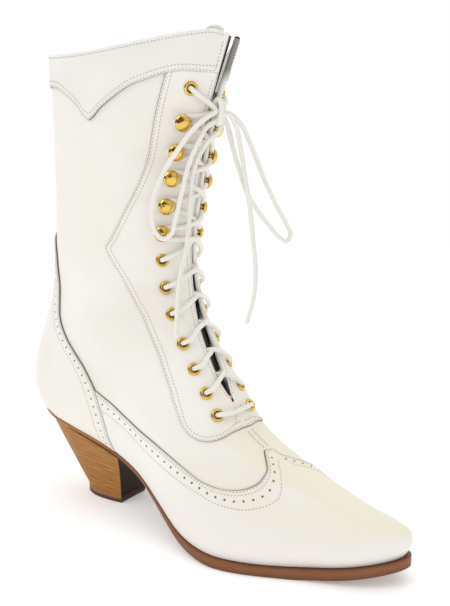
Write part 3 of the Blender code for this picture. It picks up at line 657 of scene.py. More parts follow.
class Panel:
    """Leather ruled in rows and arcs from its cut edge to another line, on both sides of the
    boot, the two joined where they meet: at their start, at their end or along the back."""

    def __init__(self, cut, other, join=None, top=0.0):
        """The cut edge's rows and arcs follow from the side, the other line's from side and edge.
        The panel's face stands at a height over the leather."""
        self.cut = {side: cut(side) for side in SIDES}
        self.other = {side: other(side, *self.cut[side]) for side in SIDES}
        self.join = join
        self.top = top

    def ruled(self, side, across):
        """Points at shares across the panel, one line of them for each step of its edge."""
        return on_leather(*(a[:, None] * (1 - across) + b[:, None] * across
                            for a, b in zip(self.cut[side], self.other[side])), side)

    def breadth(self, side):
        return way_along(self.ruled(side, np.linspace(0, 1, 25)[None]))[:, -1:] + 1e-6

    def both(self, outer, inner):
        if self.join == "start":
            return np.concatenate([outer[::-1], inner[1:]])
        if self.join == "end":
            return np.concatenate([outer, inner[-2::-1]])
        return np.concatenate([outer, inner[:, -2::-1]], axis=1)

    def surface(self, fill):
        """The panel's face: close steps over its skived edge, then even ones, and its cut edge."""
        grids, lifts, cuts = [], [], []
        for side in SIDES:
            breadth = self.breadth(side)
            near = np.minimum(np.array(SKIVED) / breadth,
                              np.linspace(0, SKIVED_SHARE, len(SKIVED)))
            far = near[:, -1:] + (1 - near[:, -1:]) * np.linspace(0, 1, fill + 1)[1:]
            across = np.concatenate([near, far], axis=1)
            grids.append(self.ruled(side, across))
            away = across * breadth
            rise = np.sqrt(1 - (1 - np.clip(away / SKIVED_OVER, 0, 1)) ** 2)
            lifts.append(PANEL_BASE + (self.top - PANEL_BASE) * rise - TUCK * (away <= 0))
            cuts.append(np.clip(1 + CUT_FULL - away / CUT_SHOWS, 0, 1))
        return raised(self.both(*grids), self.both(*lifts)), self.both(*cuts)

    def line(self, side, away, proud):
        """Points and normals of a line at a distance from the cut edge, the same all along or
        one for each step of the seam, standing proud of the face."""
        across = (np.reshape(away, (-1, 1)) + BESIDE) / self.breadth(side)
        grid = self.ruled(side, np.clip(across, 0, 1))
        return raised(grid, self.top + proud)[:, 1], out_of(grid)[:, 1]


def sole_line(side, rows, arcs):
    """The wing's lower edge on the feather line, its stations spread along the wing's seam."""
    x = np.interp(np.linspace(0, 1, SEAM_STEPS), WING_SOLE_AT, WING_SOLE_X)
    t = (x - UPPER_ROWS[0, 0]) / (UPPER_ROWS[0, 2] - UPPER_ROWS[0, 0])
    return 0 * rows, np.interp(t, SHARES[side][0], TABLE_ARCS)


def facing_edge(side, rows, arcs):
    rows = np.interp(np.linspace(0, 1, SEAM_STEPS), FACING_EDGE_AT, FACING_EDGE_ROWS)
    return rows, np.ones(SEAM_STEPS)


wing = Panel(lambda side: seam(WING[side], side, WING_FRONT[side]), sole_line, "end", top=0.4)
counter = Panel(lambda side: seam(COUNTER, side), lambda side, rows, arcs: (rows, 0 * arcs),
                "back", top=0.85)
facing = Panel(lambda side: seam(FACING, side, FACING_FRONT[side]), facing_edge, "end", top=0.45)
collar = Panel(lambda side: seam(COLLAR, side),
               lambda side, rows, arcs: (0 * rows + COLLAR_ROW, arcs), "start", top=0.9)
vamp_leather = white_leather("vamp_leather", srgb(243, 241, 237), srgb(240, 236, 230))
collar_leather = white_leather("collar_leather", srgb(239, 237, 233), srgb(233, 230, 224))
for name, panel, finish, fill in (("wing", wing, vamp_leather, 44),
                                  ("facings", facing, quarter_leather, 34),
                                  ("counter", counter, quarter_leather, 30),
                                  ("collar_band", collar, collar_leather, 24)):
    face, cut_edge_and_shade = panel.surface(fill)
    # Each piece carries its cut edges and how far it faces up, for the painted warm top light.
    piece(name, *meshed(face), finish, values={"cut_edge_and_shade": cut_edge_and_shade, "painted_top_light": facing_up(face)})

# Stitching: rows of fine beige thread along the panels' edges, two close rows at each edge and a
# single one further in, each stitch lying in the leather with its ends pulled down.
STITCH_PITCH = 1.9
STITCH_HALF = 0.24
STITCH_POINT = 0.08 * STITCH_HALF
STITCH_SINKS = -0.18
STITCH_SIDES = 6
# Rings of a stitch: radius, way along it and way out of the leather.
STITCH_RINGS = ((STITCH_POINT, -0.675, STITCH_SINKS), (STITCH_HALF, -0.405, 0.0),
                (STITCH_HALF, 0.405, 0.0), (STITCH_POINT, 0.675, STITCH_SINKS))


def read_along(line, way, at):
    return np.column_stack([np.interp(at, way, line[:, k]) for k in range(3)])


def circles(first, second, angle):
    """Unit circles in the planes of pairs of vectors, at angles from the first to the second."""
    return first[:, None] * np.cos(angle)[:, None] + second[:, None] * np.sin(angle)[:, None]


def ringed(centre, axis, first, second, rings, sides):
    """Rings about points, each with a radius, a way along the axis and a way along the second
    direction: their points, the faces between them and their vertex numbers."""
    circle = circles(first, second, np.arange(sides) * 2 * math.pi / sides)
    body = np.stack([centre[:, None] + axis[:, None] * ahead + second[:, None] * up
                     + radius * circle for radius, ahead, up in rings], axis=1)
    number = numbered(body)
    faces = grid_faces(np.concatenate([number, number[:, :, :1]], axis=2))
    return body.reshape(-1, 3), faces, number


def stitches(points, normals):
    """Stitches at an even pitch along a line: a six-sided spindle along each, sunk at its ends.
    There is none where the panel is too narrow for the line, which then has no normal."""
    way = way_along(points)
    at = np.arange(STITCH_PITCH, way[-1] - STITCH_PITCH / 2, STITCH_PITCH)
    at = at[np.any(read_along(normals, way, at), axis=1)]
    ahead = unit(read_along(points, way, at + 0.5) - read_along(points, way, at - 0.5))
    out = read_along(normals, way, at)
    out = unit(out - ahead * np.sum(out * ahead, axis=1, keepdims=True))
    body, faces, number = ringed(read_along(points, way, at), ahead, np.cross(ahead, out), out,
                                 STITCH_RINGS, STITCH_SIDES)
    caps = np.concatenate([number[:, 0, ::-1], number[:, -1]])
    return body, faces + caps.tolist()


def gathered(parts):
    """One mesh's points and faces from those of several."""
    start = np.cumsum([0] + [len(points) for points, _ in parts])
    faces = [[k + first for k in face] for first, (_, group) in zip(start, parts)
             for face in group]
    return np.concatenate([points for points, _ in parts]), faces


STITCH_PROUD = 0.05
RIDGE_PROUD = 0.1
EDGE_PROUD = 0.5
RIM_PROUD = 0.95        # clear of the collar band
# The wing's rows close up over the last part of its seam, towards the peak.
BAND_NARROWS = np.interp(np.linspace(0, 1, SEAM_STEPS), (0.70, 0.90), (1.0, 0.52))
STITCH_ROWS = ((wing, [away * BAND_NARROWS for away in (0.9, 2.2, 8.6)]),
               (counter, (0.9, 2.3, 11.0)), (facing, (1.2, 3.8)), (collar, (1.1, 3.6)))
thread_parts = [stitches(*panel.line(side, away, STITCH_PROUD))
                for panel, rows_in in STITCH_ROWS for away in rows_in for side in SIDES]
RIDGE_STITCH = 1.0
EDGE_STITCH = 2.0
RIM_STITCH = 1.0
RIDGE_SEAM = (6.08, 5.64)      # rows of the seam from the facings' foot to the wing's peak
# Legs of the tack that closes the throat, as rows and distances from the centre line.
TACK = {OUTER: ((6.78, 0.3), (6.59, 1.2), (6.45, 3.8), (6.28, 6.8)),
        INNER: ((6.78, 4.0), (6.6, 7.0), (6.4, 10.8))}
TACK_BESIDE = np.array((-0.004, 0.0, 0.004))
TACK_PROUD = 0.5
EDGE_SEWN = np.linspace(7.0, 12.95, SEAM_STEPS)
EDGE_LIFTS = ((EDGE_SEWN < 12.5, EDGE_PROUD), (EDGE_SEWN > 12.52, RIM_PROUD))


def inwards(side, rows, arcs):
    return rows, arcs / 2


edge_panel = Panel(lambda side: (EDGE_SEWN, np.ones(SEAM_STEPS)), inwards)
ridge_panel = Panel(lambda side: (np.linspace(*RIDGE_SEAM, SEAM_STEPS), np.ones(SEAM_STEPS)), inwards)
rim_panel = Panel(lambda side: (np.full(SEAM_STEPS, COLLAR_ROW), np.linspace(0, 0.99, SEAM_STEPS)),
                  lambda side, rows, arcs: (rows - 1, arcs))
for side in SIDES:
    tack_row, tack_out = smooth_line(TACK[side], 41).T
    tack_t = near_share(tack_row, tack_out, side)[:, None] + TACK_BESIDE
    tack = leather(tack_row[:, None], tack_t, side)
    tack_normal = out_of(tack)[:, 1]
    thread_parts += [stitches(*ridge_panel.line(side, RIDGE_STITCH, RIDGE_PROUD)),
                     stitches(tack[:, 1] + TACK_PROUD * tack_normal, tack_normal)]
    thread_parts += [stitches(*(line[part] for line in edge_panel.line(side, EDGE_STITCH, lift)))
                     for part, lift in EDGE_LIFTS]
    thread_parts.append(stitches(*rim_panel.line(side, RIM_STITCH, RIM_PROUD)))

thread = speckled("beige_thread", 2500.0, srgb(212, 203, 186), srgb(182, 169, 147), deep=0.04,
                  Roughness=0.75)
piece("stitching", *gathered(thread_parts), thread, closed=True)

# Perforations: a row of small round holes punched through the wing and the counter, 5 mm apart,
# with painted shade inside and a slightly raised rim.
PUNCH_PITCH = 5.2
PUNCH_PROUD = 0.03
# Rings of a hole: radius, height and way across, and then how much painted shade each ring takes.
PUNCH_RINGS = ((0.95, 0.0, 0.0), (0.8, 0.06, 0.0), (0.66, 0.05, 0.0), (0.54, -0.02, 0.0),
               (0.05, -0.03, 0.0))
PUNCH_SHADE = (0.0, 0.0, 0.35, 1.0, 1.0)
PUNCH_SIDES = 10
PUNCH_TURN = (0.0, 0.2, 1.0)
PUNCHED = ((wing, 4.7 * BAND_NARROWS), (counter, 6.2))
HOLES_END = -6          # the last steps of a seam are left whole where its two sides meet


def punches(points, normals):
    """Rims and floors of holes along a line: rings about the normal, from the rim to the middle."""
    way = way_along(points)
    at = np.arange(PUNCH_PITCH / 2, way[-1], PUNCH_PITCH)
    out = read_along(normals, way, at)
    first = unit(np.cross(out, PUNCH_TURN))
    body, faces, number = ringed(read_along(points, way, at), out, first, np.cross(out, first),
                                 PUNCH_RINGS, PUNCH_SIDES)
    return body, faces + number[:, -1].tolist()


hole_leather = white_leather("punched_leather", srgb(242, 238, 229), srgb(238, 232, 220))
# Painted shade down in each hole.
hole_leather.coat(hole_leather.attribute("painted_hole_shade"), srgb(104, 92, 79))
hole_lines = [panel.line(side, away, PUNCH_PROUD) for panel, away in PUNCHED for side in SIDES]
hole_points, hole_faces = gathered([punches(points[:HOLES_END], normals[:HOLES_END])
                                    for points, normals in hole_lines])
piece("perforations", hole_points, hole_faces, hole_leather,
      values={"painted_hole_shade": np.resize(np.repeat(PUNCH_SHADE, PUNCH_SIDES), len(hole_points))})

# Lining and bound edge: grey-white lining inside the leather, and the folded edge that closes the
# two round the collar and down both facings.
LINING_LIFT = -2.2
EDGE_OUT = 0.75
RIM_OUT = 0.9
EDGE_REACH = 0.9
EDGE_OF_GAP = 0.45      # but no more than this share of the half gap
EDGE_TURNS = 11
EDGE_GREY = 0.75        # the raw edge shows this much above the row where the collar opens
EDGE_GREY_FROM = 12.4
EDGE_GREY_OVER = 0.2
EDGE_SHADE_BELOW = 7.7   # and the cut-edge grey is painted on as shade where the edges meet at the throat
EDGE_SHADE_OVER = 0.3
SHAFT_MIDDLE = np.array((75.0, 0.0, 150.0))
lining = white_leather("grey_lining", srgb(214, 208, 199), srgb(200, 193, 182))
lining_grid = raised(round_boot(np.linspace(0.4, COLLAR_ROW, 91), np.linspace(0.0, 1.0, 61)),
                     LINING_LIFT)
piece("lining", *meshed(lining_grid), lining).data.flip_normals()


def out_of_shaft(points):
    """The level way from the middle of the shaft to points."""
    return (points - SHAFT_MIDDLE) * (1.0, 1.0, 0.0)


def bound_edge(edge, inward, lift, reach):
    """A half-round edge along a line: half an ellipse from the outer face to the lining, bulging
    away from the leather. `inward` is the same line a little further into the leather."""
    ahead = np.gradient(edge, axis=0)
    away = edge - inward
    away -= ahead * (np.sum(away * ahead, axis=1) / np.sum(ahead * ahead, axis=1))[:, None]
    away = unit(away)
    out = unit(np.cross(ahead, away))
    out *= np.sign(np.sum(out * out_of_shaft(edge)))
    angle = np.linspace(-math.pi / 2, math.pi / 2, EDGE_TURNS)
    middle, half = (lift + LINING_LIFT) / 2, (lift - LINING_LIFT) / 2
    return (edge[:, None] + away[:, None] * (reach[:, None] * np.cos(angle))[..., None]
            + out[:, None] * (middle + half * np.sin(angle))[:, None])


edge_rows = np.linspace(THROAT_ROW + 0.02, COLLAR_ROW, 161)
edge_reach = np.minimum(EDGE_REACH, EDGE_OF_GAP * half_gap(edge_rows))
edge_strips = [bound_edge(on_leather(edge_rows, 1.0, side), on_leather(edge_rows, 0.98, side),
                          EDGE_OUT, edge_reach) for side in SIDES]
rim, under_rim = round_boot(np.array((COLLAR_ROW, COLLAR_ROW - 0.1)), np.linspace(0.0, 1.0, 121))
edge_strips.append(bound_edge(rim, under_rim, RIM_OUT, np.full(len(rim), EDGE_REACH)))
# The bound edges' raw grey at the top, and painted shade where they meet at the throat.
edge_grey_and_shade = (EDGE_GREY * np.clip((edge_rows - EDGE_GREY_FROM) / EDGE_GREY_OVER, 0, 1)
             + np.clip((EDGE_SHADE_BELOW - edge_rows) / EDGE_SHADE_OVER, 0, 1))
edge_greys_and_shade = np.concatenate([edge_grey_and_shade, edge_grey_and_shade, np.zeros(len(rim))])
piece("bound_edge", *gathered([meshed(strip) for strip in edge_strips]), collar_leather,
      values={"cut_edge_and_shade": np.repeat(edge_greys_and_shade, EDGE_TURNS)}, closed=True)

# Tongue: a leather strip behind the lacing gap, coloured dark grey as painted shade for the deep
# gap, and white where its top stands out of the collar, sewn in at the throat.
TONGUE_ROWS = np.linspace(6.2, 13.0, 90)
TONGUE_HALF = 18.0
TONGUE_FLAT = 6.5
TONGUE_DEPTH = 4.2
TONGUE_STANDS = 2.9
TIP_ACROSS = -0.53      # its rounded tip, as shares of the half width
TIP_HALF = 0.26
TONGUE_THICK = 1.8
TIP_STEPS = np.array((0.4, 0.8, 1.0))
WHITE_ABOVE = (0.2825, 0.2840)  # heights in metres between which the painted shade gives way to its white leather


def near_ridge(rows, outs, side):
    """Points of the upper on rows, at distances out from the centre line in front."""
    rows = np.asarray(rows, float)
    t = near_share(rows, [outs] * len(rows), side)
    return leather(rows[:, None], t, side)


arms = [near_ridge(TONGUE_ROWS, np.linspace(TONGUE_FLAT, TONGUE_HALF, 12), side) for side in SIDES]
outer_arm, inner_arm = (arm - out_of(arm) * TONGUE_DEPTH for arm in arms)
middle_share = np.linspace(0, 1, 13)[1:-1, None]
tongue_middle = outer_arm[:, :1] * (1 - middle_share) + inner_arm[:, :1] * middle_share
tongue_grid = np.concatenate([outer_arm[:, ::-1], tongue_middle, inner_arm], axis=1)
tongue_up = unit(tongue_grid[-1] - tongue_grid[-2])
tongue_across = (np.linspace(-1, 1, len(tongue_up)) - TIP_ACROSS) / TIP_HALF
tongue_round = TONGUE_STANDS * np.sqrt(np.clip(1 - tongue_across**2, 0, 1))[:, None]
tongue_tip = tongue_grid[-1] + TIP_STEPS[:, None, None] * tongue_up * tongue_round
tongue_grid = np.concatenate([tongue_grid, tongue_tip])
tongue_back = tongue_grid - out_of(tongue_grid) * TONGUE_THICK
# Dark grey painted on as the shade in the deep lacing gap; its own white shows only at the top.
tongue_leather = speckled("tongue_leather", 1200.0, srgb(70, 66, 60), srgb(90, 85, 77),
                          detail=3.0, rough=(0.5, 0.15), deep=0.06)
tongue_white = tongue_leather.eased(tongue_leather.axis("Z"), *WHITE_ABOVE)
tongue_leather.coat(tongue_white, srgb(240, 237, 231))
piece("tongue_strip", *meshed(np.concatenate([tongue_grid, tongue_back[::-1]])), tongue_leather,
      "tongue_leather", ["tongue"], closed=True)

# Insole: the sock of tan leather glued over the insole board inside the boot, seen only from
# above down the shaft.
insole_leather = speckled("insole_leather", 25.0, srgb(206, 184, 156), srgb(190, 166, 136))
insole_grain = insole_leather.noise(scale=900.0, detail=3.0)
insole_leather.feed(Roughness=0.5 + 0.2 * insole_grain)
insole_leather.bump(insole_grain, deep=0.06)
insole = bpy.data.objects["insole"]
insole.data.materials.clear()
insole.data.materials.append(insole_leather.material)

# Outsole: leather stained red-brown and burnished at its edge, with a darker line under the welt,
# flat under the tread and arched at the waist.
SOLE_COLUMNS = np.array(((0.0, 0.9, 3.0), (60.0, 0.7, 3.0), (100.0, 0.6, 3.4), (135.0, 1.4, 4.6),
                         (160.0, 2.4, 5.8), (200.0, 2.8, 6.1), (235.0, 3.0, 6.0),
                         (262.0, 3.2, 5.8)))
SEAT_GAP = 0.4
SOLE_SECTION = ((6.0, 1.0), (2.5, 1.0), (1.0, 1.0), (0.35, 0.97), (0.05, 0.88), (-0.1, 0.65),
                (-0.1, 0.4), (0.05, 0.18), (0.35, 0.05), (0.9, 0.0), (2.5, 0.0), (6.0, 0.0))
SOLE_STEPS = 121
SOLE_TIP = 1.5          # the section closes to nothing where the sole is narrower than this


def sole_bottom(x):
    return np.maximum(feather_z(x) - SEAT_GAP - curve(SOLE_COLUMNS, x, 2), 0.0)


def sole_outline(count):
    """The sole's two edges in plan: the feather line moved out by the edge's width there."""
    outer, inner = (leather(0.0, close_ends(SOLE_STEPS), side)[:, :2] for side in SIDES)
    loop = np.concatenate([outer, inner[-2:0:-1]])
    ahead = unit(np.roll(loop, -1, axis=0) - np.roll(loop, 1, axis=0))
    normal = np.stack([ahead[:, 1], -ahead[:, 0]], axis=1)
    loop = loop + normal * curve(SOLE_COLUMNS, loop[:, 0])[:, None]
    outer, inner = loop[:SOLE_STEPS], np.concatenate([loop[:1], loop[:SOLE_STEPS - 2:-1]])
    x = outer[0, 0] + (outer[-1, 0] - outer[0, 0]) * close_ends(count)
    return x, np.interp(x, outer[:, 0], outer[:, 1]), np.interp(x, inner[:, 0], inner[:, 1])


sole_x, sole_outer, sole_inner = sole_outline(201)
sole_top, sole_low = feather_z(sole_x) - SEAT_GAP, sole_bottom(sole_x)
sole_middle, sole_half = (sole_outer + sole_inner) / 2, (sole_inner - sole_outer) / 2
section_in, section_up = np.array(SOLE_SECTION).T
half_section = np.maximum(sole_half[:, None] - section_in[None], 0.0)
half_section *= np.clip(sole_half / SOLE_TIP, 0, 1)[:, None]
section_z = sole_low[:, None] + (sole_top - sole_low)[:, None] * section_up[None]
sole_grid = np.concatenate([
    np.stack([np.broadcast_to(sole_x[:, None], section_z.shape),
              sole_middle[:, None] + way * half_section, section_z], axis=-1)[:, ::way]
    for way in (-1, 1)], axis=1)
sole_numbers = numbered(sole_grid)
sole_faces = grid_faces(np.concatenate([sole_numbers, sole_numbers[:, :1]], axis=1))
sole_up = np.concatenate([np.broadcast_to(section_up, section_z.shape)[:, ::way]
                          for way in (-1, 1)], axis=1)
SEAT_ENDS = (-0.062, -0.046)    # over the heel the edge is left light like the heel
sole_leather = speckled("burnished_sole", 220.0, srgb(148, 88, 38), srgb(122, 67, 26),
                        detail=4.0, stretch=(1.0, 1.0, 8.0), rough=(0.34, 0.25), deep=0.1)
sole_share = sole_leather.attribute("edge_up")
sole_seat = 1 - sole_leather.eased(sole_leather.axis("X"), *SEAT_ENDS)
sole_low_edge = 1 - sole_leather.eased(sole_share, 0.1, 0.75)
sole_dark = sole_leather.eased(sole_share, 0.90, 1.0)
sole_tread = 1 - sole_leather.eased(sole_share, 0.0, 0.06)
sole_leather.coat(0.75 * sole_low_edge, srgb(90, 46, 16))
sole_leather.coat(0.85 * sole_seat, srgb(166, 116, 64))
sole_leather.coat(0.7 * sole_dark, srgb(92, 55, 34))
sole_leather.coat(sole_tread, srgb(128, 92, 64))
piece("sole", sole_grid.reshape(-1, 3), sole_faces, sole_leather, "sole_leather", ["outsole"],
      {"edge_up": sole_up}, closed=True)

# Heel and toplift: layers of light brown leather board stacked and turned to a waisted heel, its
# breast coloured dark, on a thin dark tip nailed underneath.
HEEL_ROWS = np.array(((0.00, 4.4, 84.5, 26.4), (0.25, 11.6, 81.6, 22.0), (0.60, 23.2, 78.0, 16.8),
                      (1.00, 38.0, 75.4, 13.2)))
ROUND_BACK = 0.52
BREAST_NARROWER = 0.13
TOPLIFT_THICK = 5.8
LAYER = 3.3
RING_STEPS = 33
CLOSER_BEHIND = 1.8
BREAST_DARK = srgb(44, 23, 8)
BREAST_EDGE = (0.75, 0.98)
SHARP = math.radians(50)


def heel_rings(down):
    """Plans of the heel at shares down: a half round behind, narrowing a little to the breast."""
    back, breast, width = (curve(HEEL_ROWS, down, k)[:, None] for k in (1, 2, 3))
    t = (1 - np.linspace(0, 1, RING_STEPS)[None]) ** CLOSER_BEHIND
    x = back + (breast - back) * t
    y = width * np.sqrt(1 - np.clip(1 - t / ROUND_BACK, 0, 1) ** 2)
    y = y * (1 - BREAST_NARROWER * np.clip((t - ROUND_BACK) / (1 - ROUND_BACK), 0, 1) ** 2)
    return np.concatenate([x, x[:, -2::-1]], axis=1), np.concatenate([-y, y[:, -2::-1]], axis=1)


def heel_piece(name, x, y, z, finish, slot, node):
    """Sides round the rings, a flat breast, and a cap at each end joining the two halves."""
    grid = np.stack([x, y, z], axis=-1)
    number = numbered(grid)
    half = grid.shape[1] // 2
    faces = grid_faces(number) + grid_faces(number[:, [-1, 0]])
    for ring in (number[0], number[-1]):
        cap = np.column_stack([ring[:half + 1], ring[:half - 1:-1]])
        faces += grid_faces(cap[:-1]) + [[*cap[-2].tolist(), int(cap[-1][0])]]
    front = np.zeros(grid.shape[:2])
    front[:, [0, -1]] = 1.0
    obj = piece(name, grid.reshape(-1, 3), faces, finish, slot, [node], {"breast": front}, closed=True)
    obj.data.set_sharp_from_angle(angle=SHARP)


heel_down = np.linspace(0, 1, 49)
heel_x, heel_y = heel_rings(heel_down)
heel_z = ((sole_bottom(heel_x) - SEAT_GAP / 4) * (1 - heel_down[:, None])
          + TOPLIFT_THICK * heel_down[:, None])
stacked = Finish("stacked_leather_board")
stacked_level = (stacked.axis("Z") + 0.10 * stacked.axis("X")
                 + 0.0008 * stacked.noise(30.0)) / (LAYER * MM)
stacked_joint = stacked.node("ShaderNodeMath", {"operation": "PINGPONG"}, {0: stacked_level, 1: 0.5})
stacked_line = 1 - stacked.eased(stacked_joint, 0.0, 0.12)
stacked_grain = stacked.stretched(scale=(0.14, 0.14, 2.2), turn=(0.0, 0.10, 0.0))
stacked_streak = stacked.noise(480.0, 4.0, stacked_grain)
stacked_board = stacked.mixed(stacked.eased(stacked_streak, 0.3, 0.7), srgb(150, 98, 42),
                              srgb(180, 127, 60))
stacked_front = stacked.eased(stacked.attribute("breast"), *BREAST_EDGE)
stacked.feed(Base_Color=stacked_board, Roughness=0.42 + 0.2 * stacked_streak,
             Specular_IOR_Level=0.2)
stacked.coat(0.55 * stacked_line, srgb(98, 62, 30))
stacked.coat(stacked_front, BREAST_DARK)
stacked.bump(stacked_streak - 0.6 * stacked_line, deep=0.12)
heel_piece("stacked_heel", heel_x, heel_y, heel_z, stacked, "stacked_wood", "heel")

TIP_SECTION = np.array(((0.6, 0.0), (0.1, 0.4), (0.0, 1.2), (0.0, 4.8), (0.2, 5.6), (0.5, 5.8)))
TIP_DARK_TO = (0.0022, 0.0034)  # heights in metres between which the tip turns to board
tip_x, tip_y = heel_rings(np.ones(len(TIP_SECTION)))
tip_scale = 1 - TIP_SECTION[:, :1] / HEEL_ROWS[-1, 3]
tip_x = tip_x.mean() + (tip_x - tip_x.mean()) * tip_scale
tip_y = tip_y * tip_scale
tip_z = np.broadcast_to(TIP_SECTION[:, 1:], tip_x.shape)
tip_rubber = speckled("dark_tip", 700.0, srgb(66, 40, 28), srgb(92, 58, 40), detail=4.0,
                      rough=(0.55, 0.2), deep=0.1)
tip_front = tip_rubber.eased(tip_rubber.attribute("breast"), *BREAST_EDGE)
tip_board = tip_rubber.mixed(tip_front, srgb(158, 108, 52), BREAST_DARK)
tip_rubber.coat(tip_rubber.eased(tip_rubber.axis("Z"), *TIP_DARK_TO), tip_board)
heel_piece("heel_tip", tip_x, tip_y, tip_z, tip_rubber, "tip_rubber", "toplift")

# Eyelets: brass tubes rolled over into a ring on the face of the facing, one at the top and seven
# from the ankle down on each side.
EYELETS = (6.59, 7.18, 7.78, 8.29, 8.81, 9.27, 9.72, 12.30)
STATION_OUT = 14.3
EYELET_SECTION = ((2.05, -1.6), (2.05, 0.2), (2.2, 0.75), (2.6, 1.15), (3.05, 1.2), (3.5, 0.9),
                  (3.8, 0.4), (3.85, -0.1))
TURNED_STEPS = 40
ROW_BESIDE = np.array((-0.03, 0.0, 0.03))


def station(row, out, side):
    """A point of the facing, the unit vector out of it, and those up it and towards the gap."""
    near = near_ridge(row + ROW_BESIDE, out + BESIDE, side)
    point = near[1, 1]
    up = unit(near[2, 1] - near[0, 1])
    in_ward = near[1, 0] - near[1, 2]
    in_ward = unit(in_ward - up * np.dot(in_ward, up))
    normal = np.cross(up, in_ward)
    return point, normal * np.sign(np.dot(normal, out_of_shaft(point))), up, in_ward


def turned(section, rows, sunk=0.0):
    """A section of radius and height turned about the axis out of the facing at each row, on
    both sides, as one mesh. It stands on the facing's face or is sunk into it."""
    radius, height = np.array(section).T[..., None, None]
    angle = np.linspace(0, 2 * math.pi, TURNED_STEPS + 1)
    grids = []
    for side in SIDES:
        for row in rows:
            point, normal, up, in_ward = station(row, STATION_OUT, side)
            grids.append(point + normal * (height + facing.top - sunk)
                         + radius * circles(in_ward[None], up[None], angle))
    return gathered([meshed(grid) for grid in grids])


def of_both_sides(kind, rows):
    return [f"{kind}_{side}_{k + 1}" for side in ("outer", "inner") for k in range(len(rows))]


def polished_brass(name):
    """Gold-coloured brass with fine wear: its colour and gloss drift a little over each piece,
    and slight dents break up what it mirrors."""
    finish = speckled(name, 300.0, srgb(240, 208, 118), srgb(202, 162, 68), detail=4.0,
                      rough=(0.07, 0.10), Metallic=1.0)
    finish.bump(finish.noise(scale=260.0), deep=0.5)
    return finish


piece("eyelets", *turned(smooth_line(EYELET_SECTION, 22), EYELETS),
      polished_brass("eyelet_brass"), "brass", of_both_sides("eyelet", EYELETS), closed=True)
HOLE_SECTION = ((2.06, 0.25), (1.4, 0.2), (0.02, 0.15))
hole_shade = speckled("eyelet_shadow", 500.0, srgb(84, 58, 34), srgb(104, 74, 44), Roughness=0.9)
piece("eyelet_holes", *turned(HOLE_SECTION, EYELETS), hole_shade)

# Hooks: domed brass lace hooks riveted to the facings between the ankle and the top eyelet, each
# stamped in one piece with its neck and open under the dome for the lace.
HOOK_SUNK = 0.2
HOOKS = (10.17, 10.61, 11.04, 11.43, 11.85)
HOOK_SECTION = ((0.02, 6.3), (1.2, 6.25), (2.4, 5.95), (3.5, 5.4), (4.3, 4.6), (4.7, 3.9),
                (4.6, 3.45), (4.0, 3.3), (3.0, 3.35), (1.75, 3.3), (1.6, 2.6), (1.6, 1.6),
                (1.8, 1.1), (2.6, 0.95), (2.9, 0.6), (2.9, 0.0))
piece("hooks", *turned(smooth_line(HOOK_SECTION, 44), HOOKS, HOOK_SUNK),
      polished_brass("hook_brass"), "brass", of_both_sides("hook", HOOKS), closed=True)

# Lacing: a round white cotton cord. It lies straight across the lowest eyelets, comes up through
# each eyelet and dives under the other facing, then turns round the hooks up to the knot.
LACE_HALF = 1.3
LACE_FLAT_HALF = 1.45   # pressed a little wider where it is drawn tight
LACE_STEP = 0.9
LACE_SIDES = 12
RIM_LIFT = 3.0
UNDER = -3.7
IN_TUBE = -2.2          # inside an eyelet, under the leather
NECK_TURN = 2.9
NECK_LIFT = 2.0
ROW_RISE = 36.0         # one row of the shaft is about this high
KNOT_AT = np.array((146.4, -1.4, 242.3))


def over(row, out, side, lift):
    """A point of the lace over the facing, or under it where the lift is below the leather."""
    point, normal, _, _ = station(row, out, side)
    return point + normal * lift


def gap_middle(row, lift):
    outer, inner = (over(row, half_gap(row) + 0.2, side, lift) for side in SIDES)
    return (outer + inner) / 2


# Points of the lace are given one by one: rows as shares of the rise to the next stop, ways out
# from the centre line and lifts off the leather.
def through_eyelet(row, rise, side, high):
    """Up through an eyelet, over its rim and over the gap, then down under the other facing."""
    edge = float(half_gap(row + 0.6 * rise))
    return [over(row, STATION_OUT + 0.3, side, IN_TUBE),
            over(row + 0.01, STATION_OUT - 0.1, side, 1.3),
            over(row + 0.17 * rise, STATION_OUT - 3.2, side, RIM_LIFT),
            over(row + 0.52 * rise, edge + 2.4, side, 2.0 + 0.3 * high),
            gap_middle(row + 0.78 * rise, 0.2 + high),
            over(row + 0.88 * rise, edge + 1.8, -side, UNDER),
            over(row + 0.96 * rise, STATION_OUT - 3.0, -side, UNDER)]


def round_hook(row, rise, side, high):
    """In from the gap, round the hook's neck under its dome, and back over the gap above."""
    turn = NECK_TURN / ROW_RISE
    return [over(row - 0.22 * rise, 8.0, side, 1.9),
            over(row - turn, STATION_OUT - 1.0, side, NECK_LIFT),
            over(row, STATION_OUT + NECK_TURN, side, NECK_LIFT),
            over(row + turn, STATION_OUT - 1.0, side, NECK_LIFT),
            over(row + 0.22 * rise, 8.0, side, 1.9),
            gap_middle(row + 0.48 * rise, 1.0 + high)]


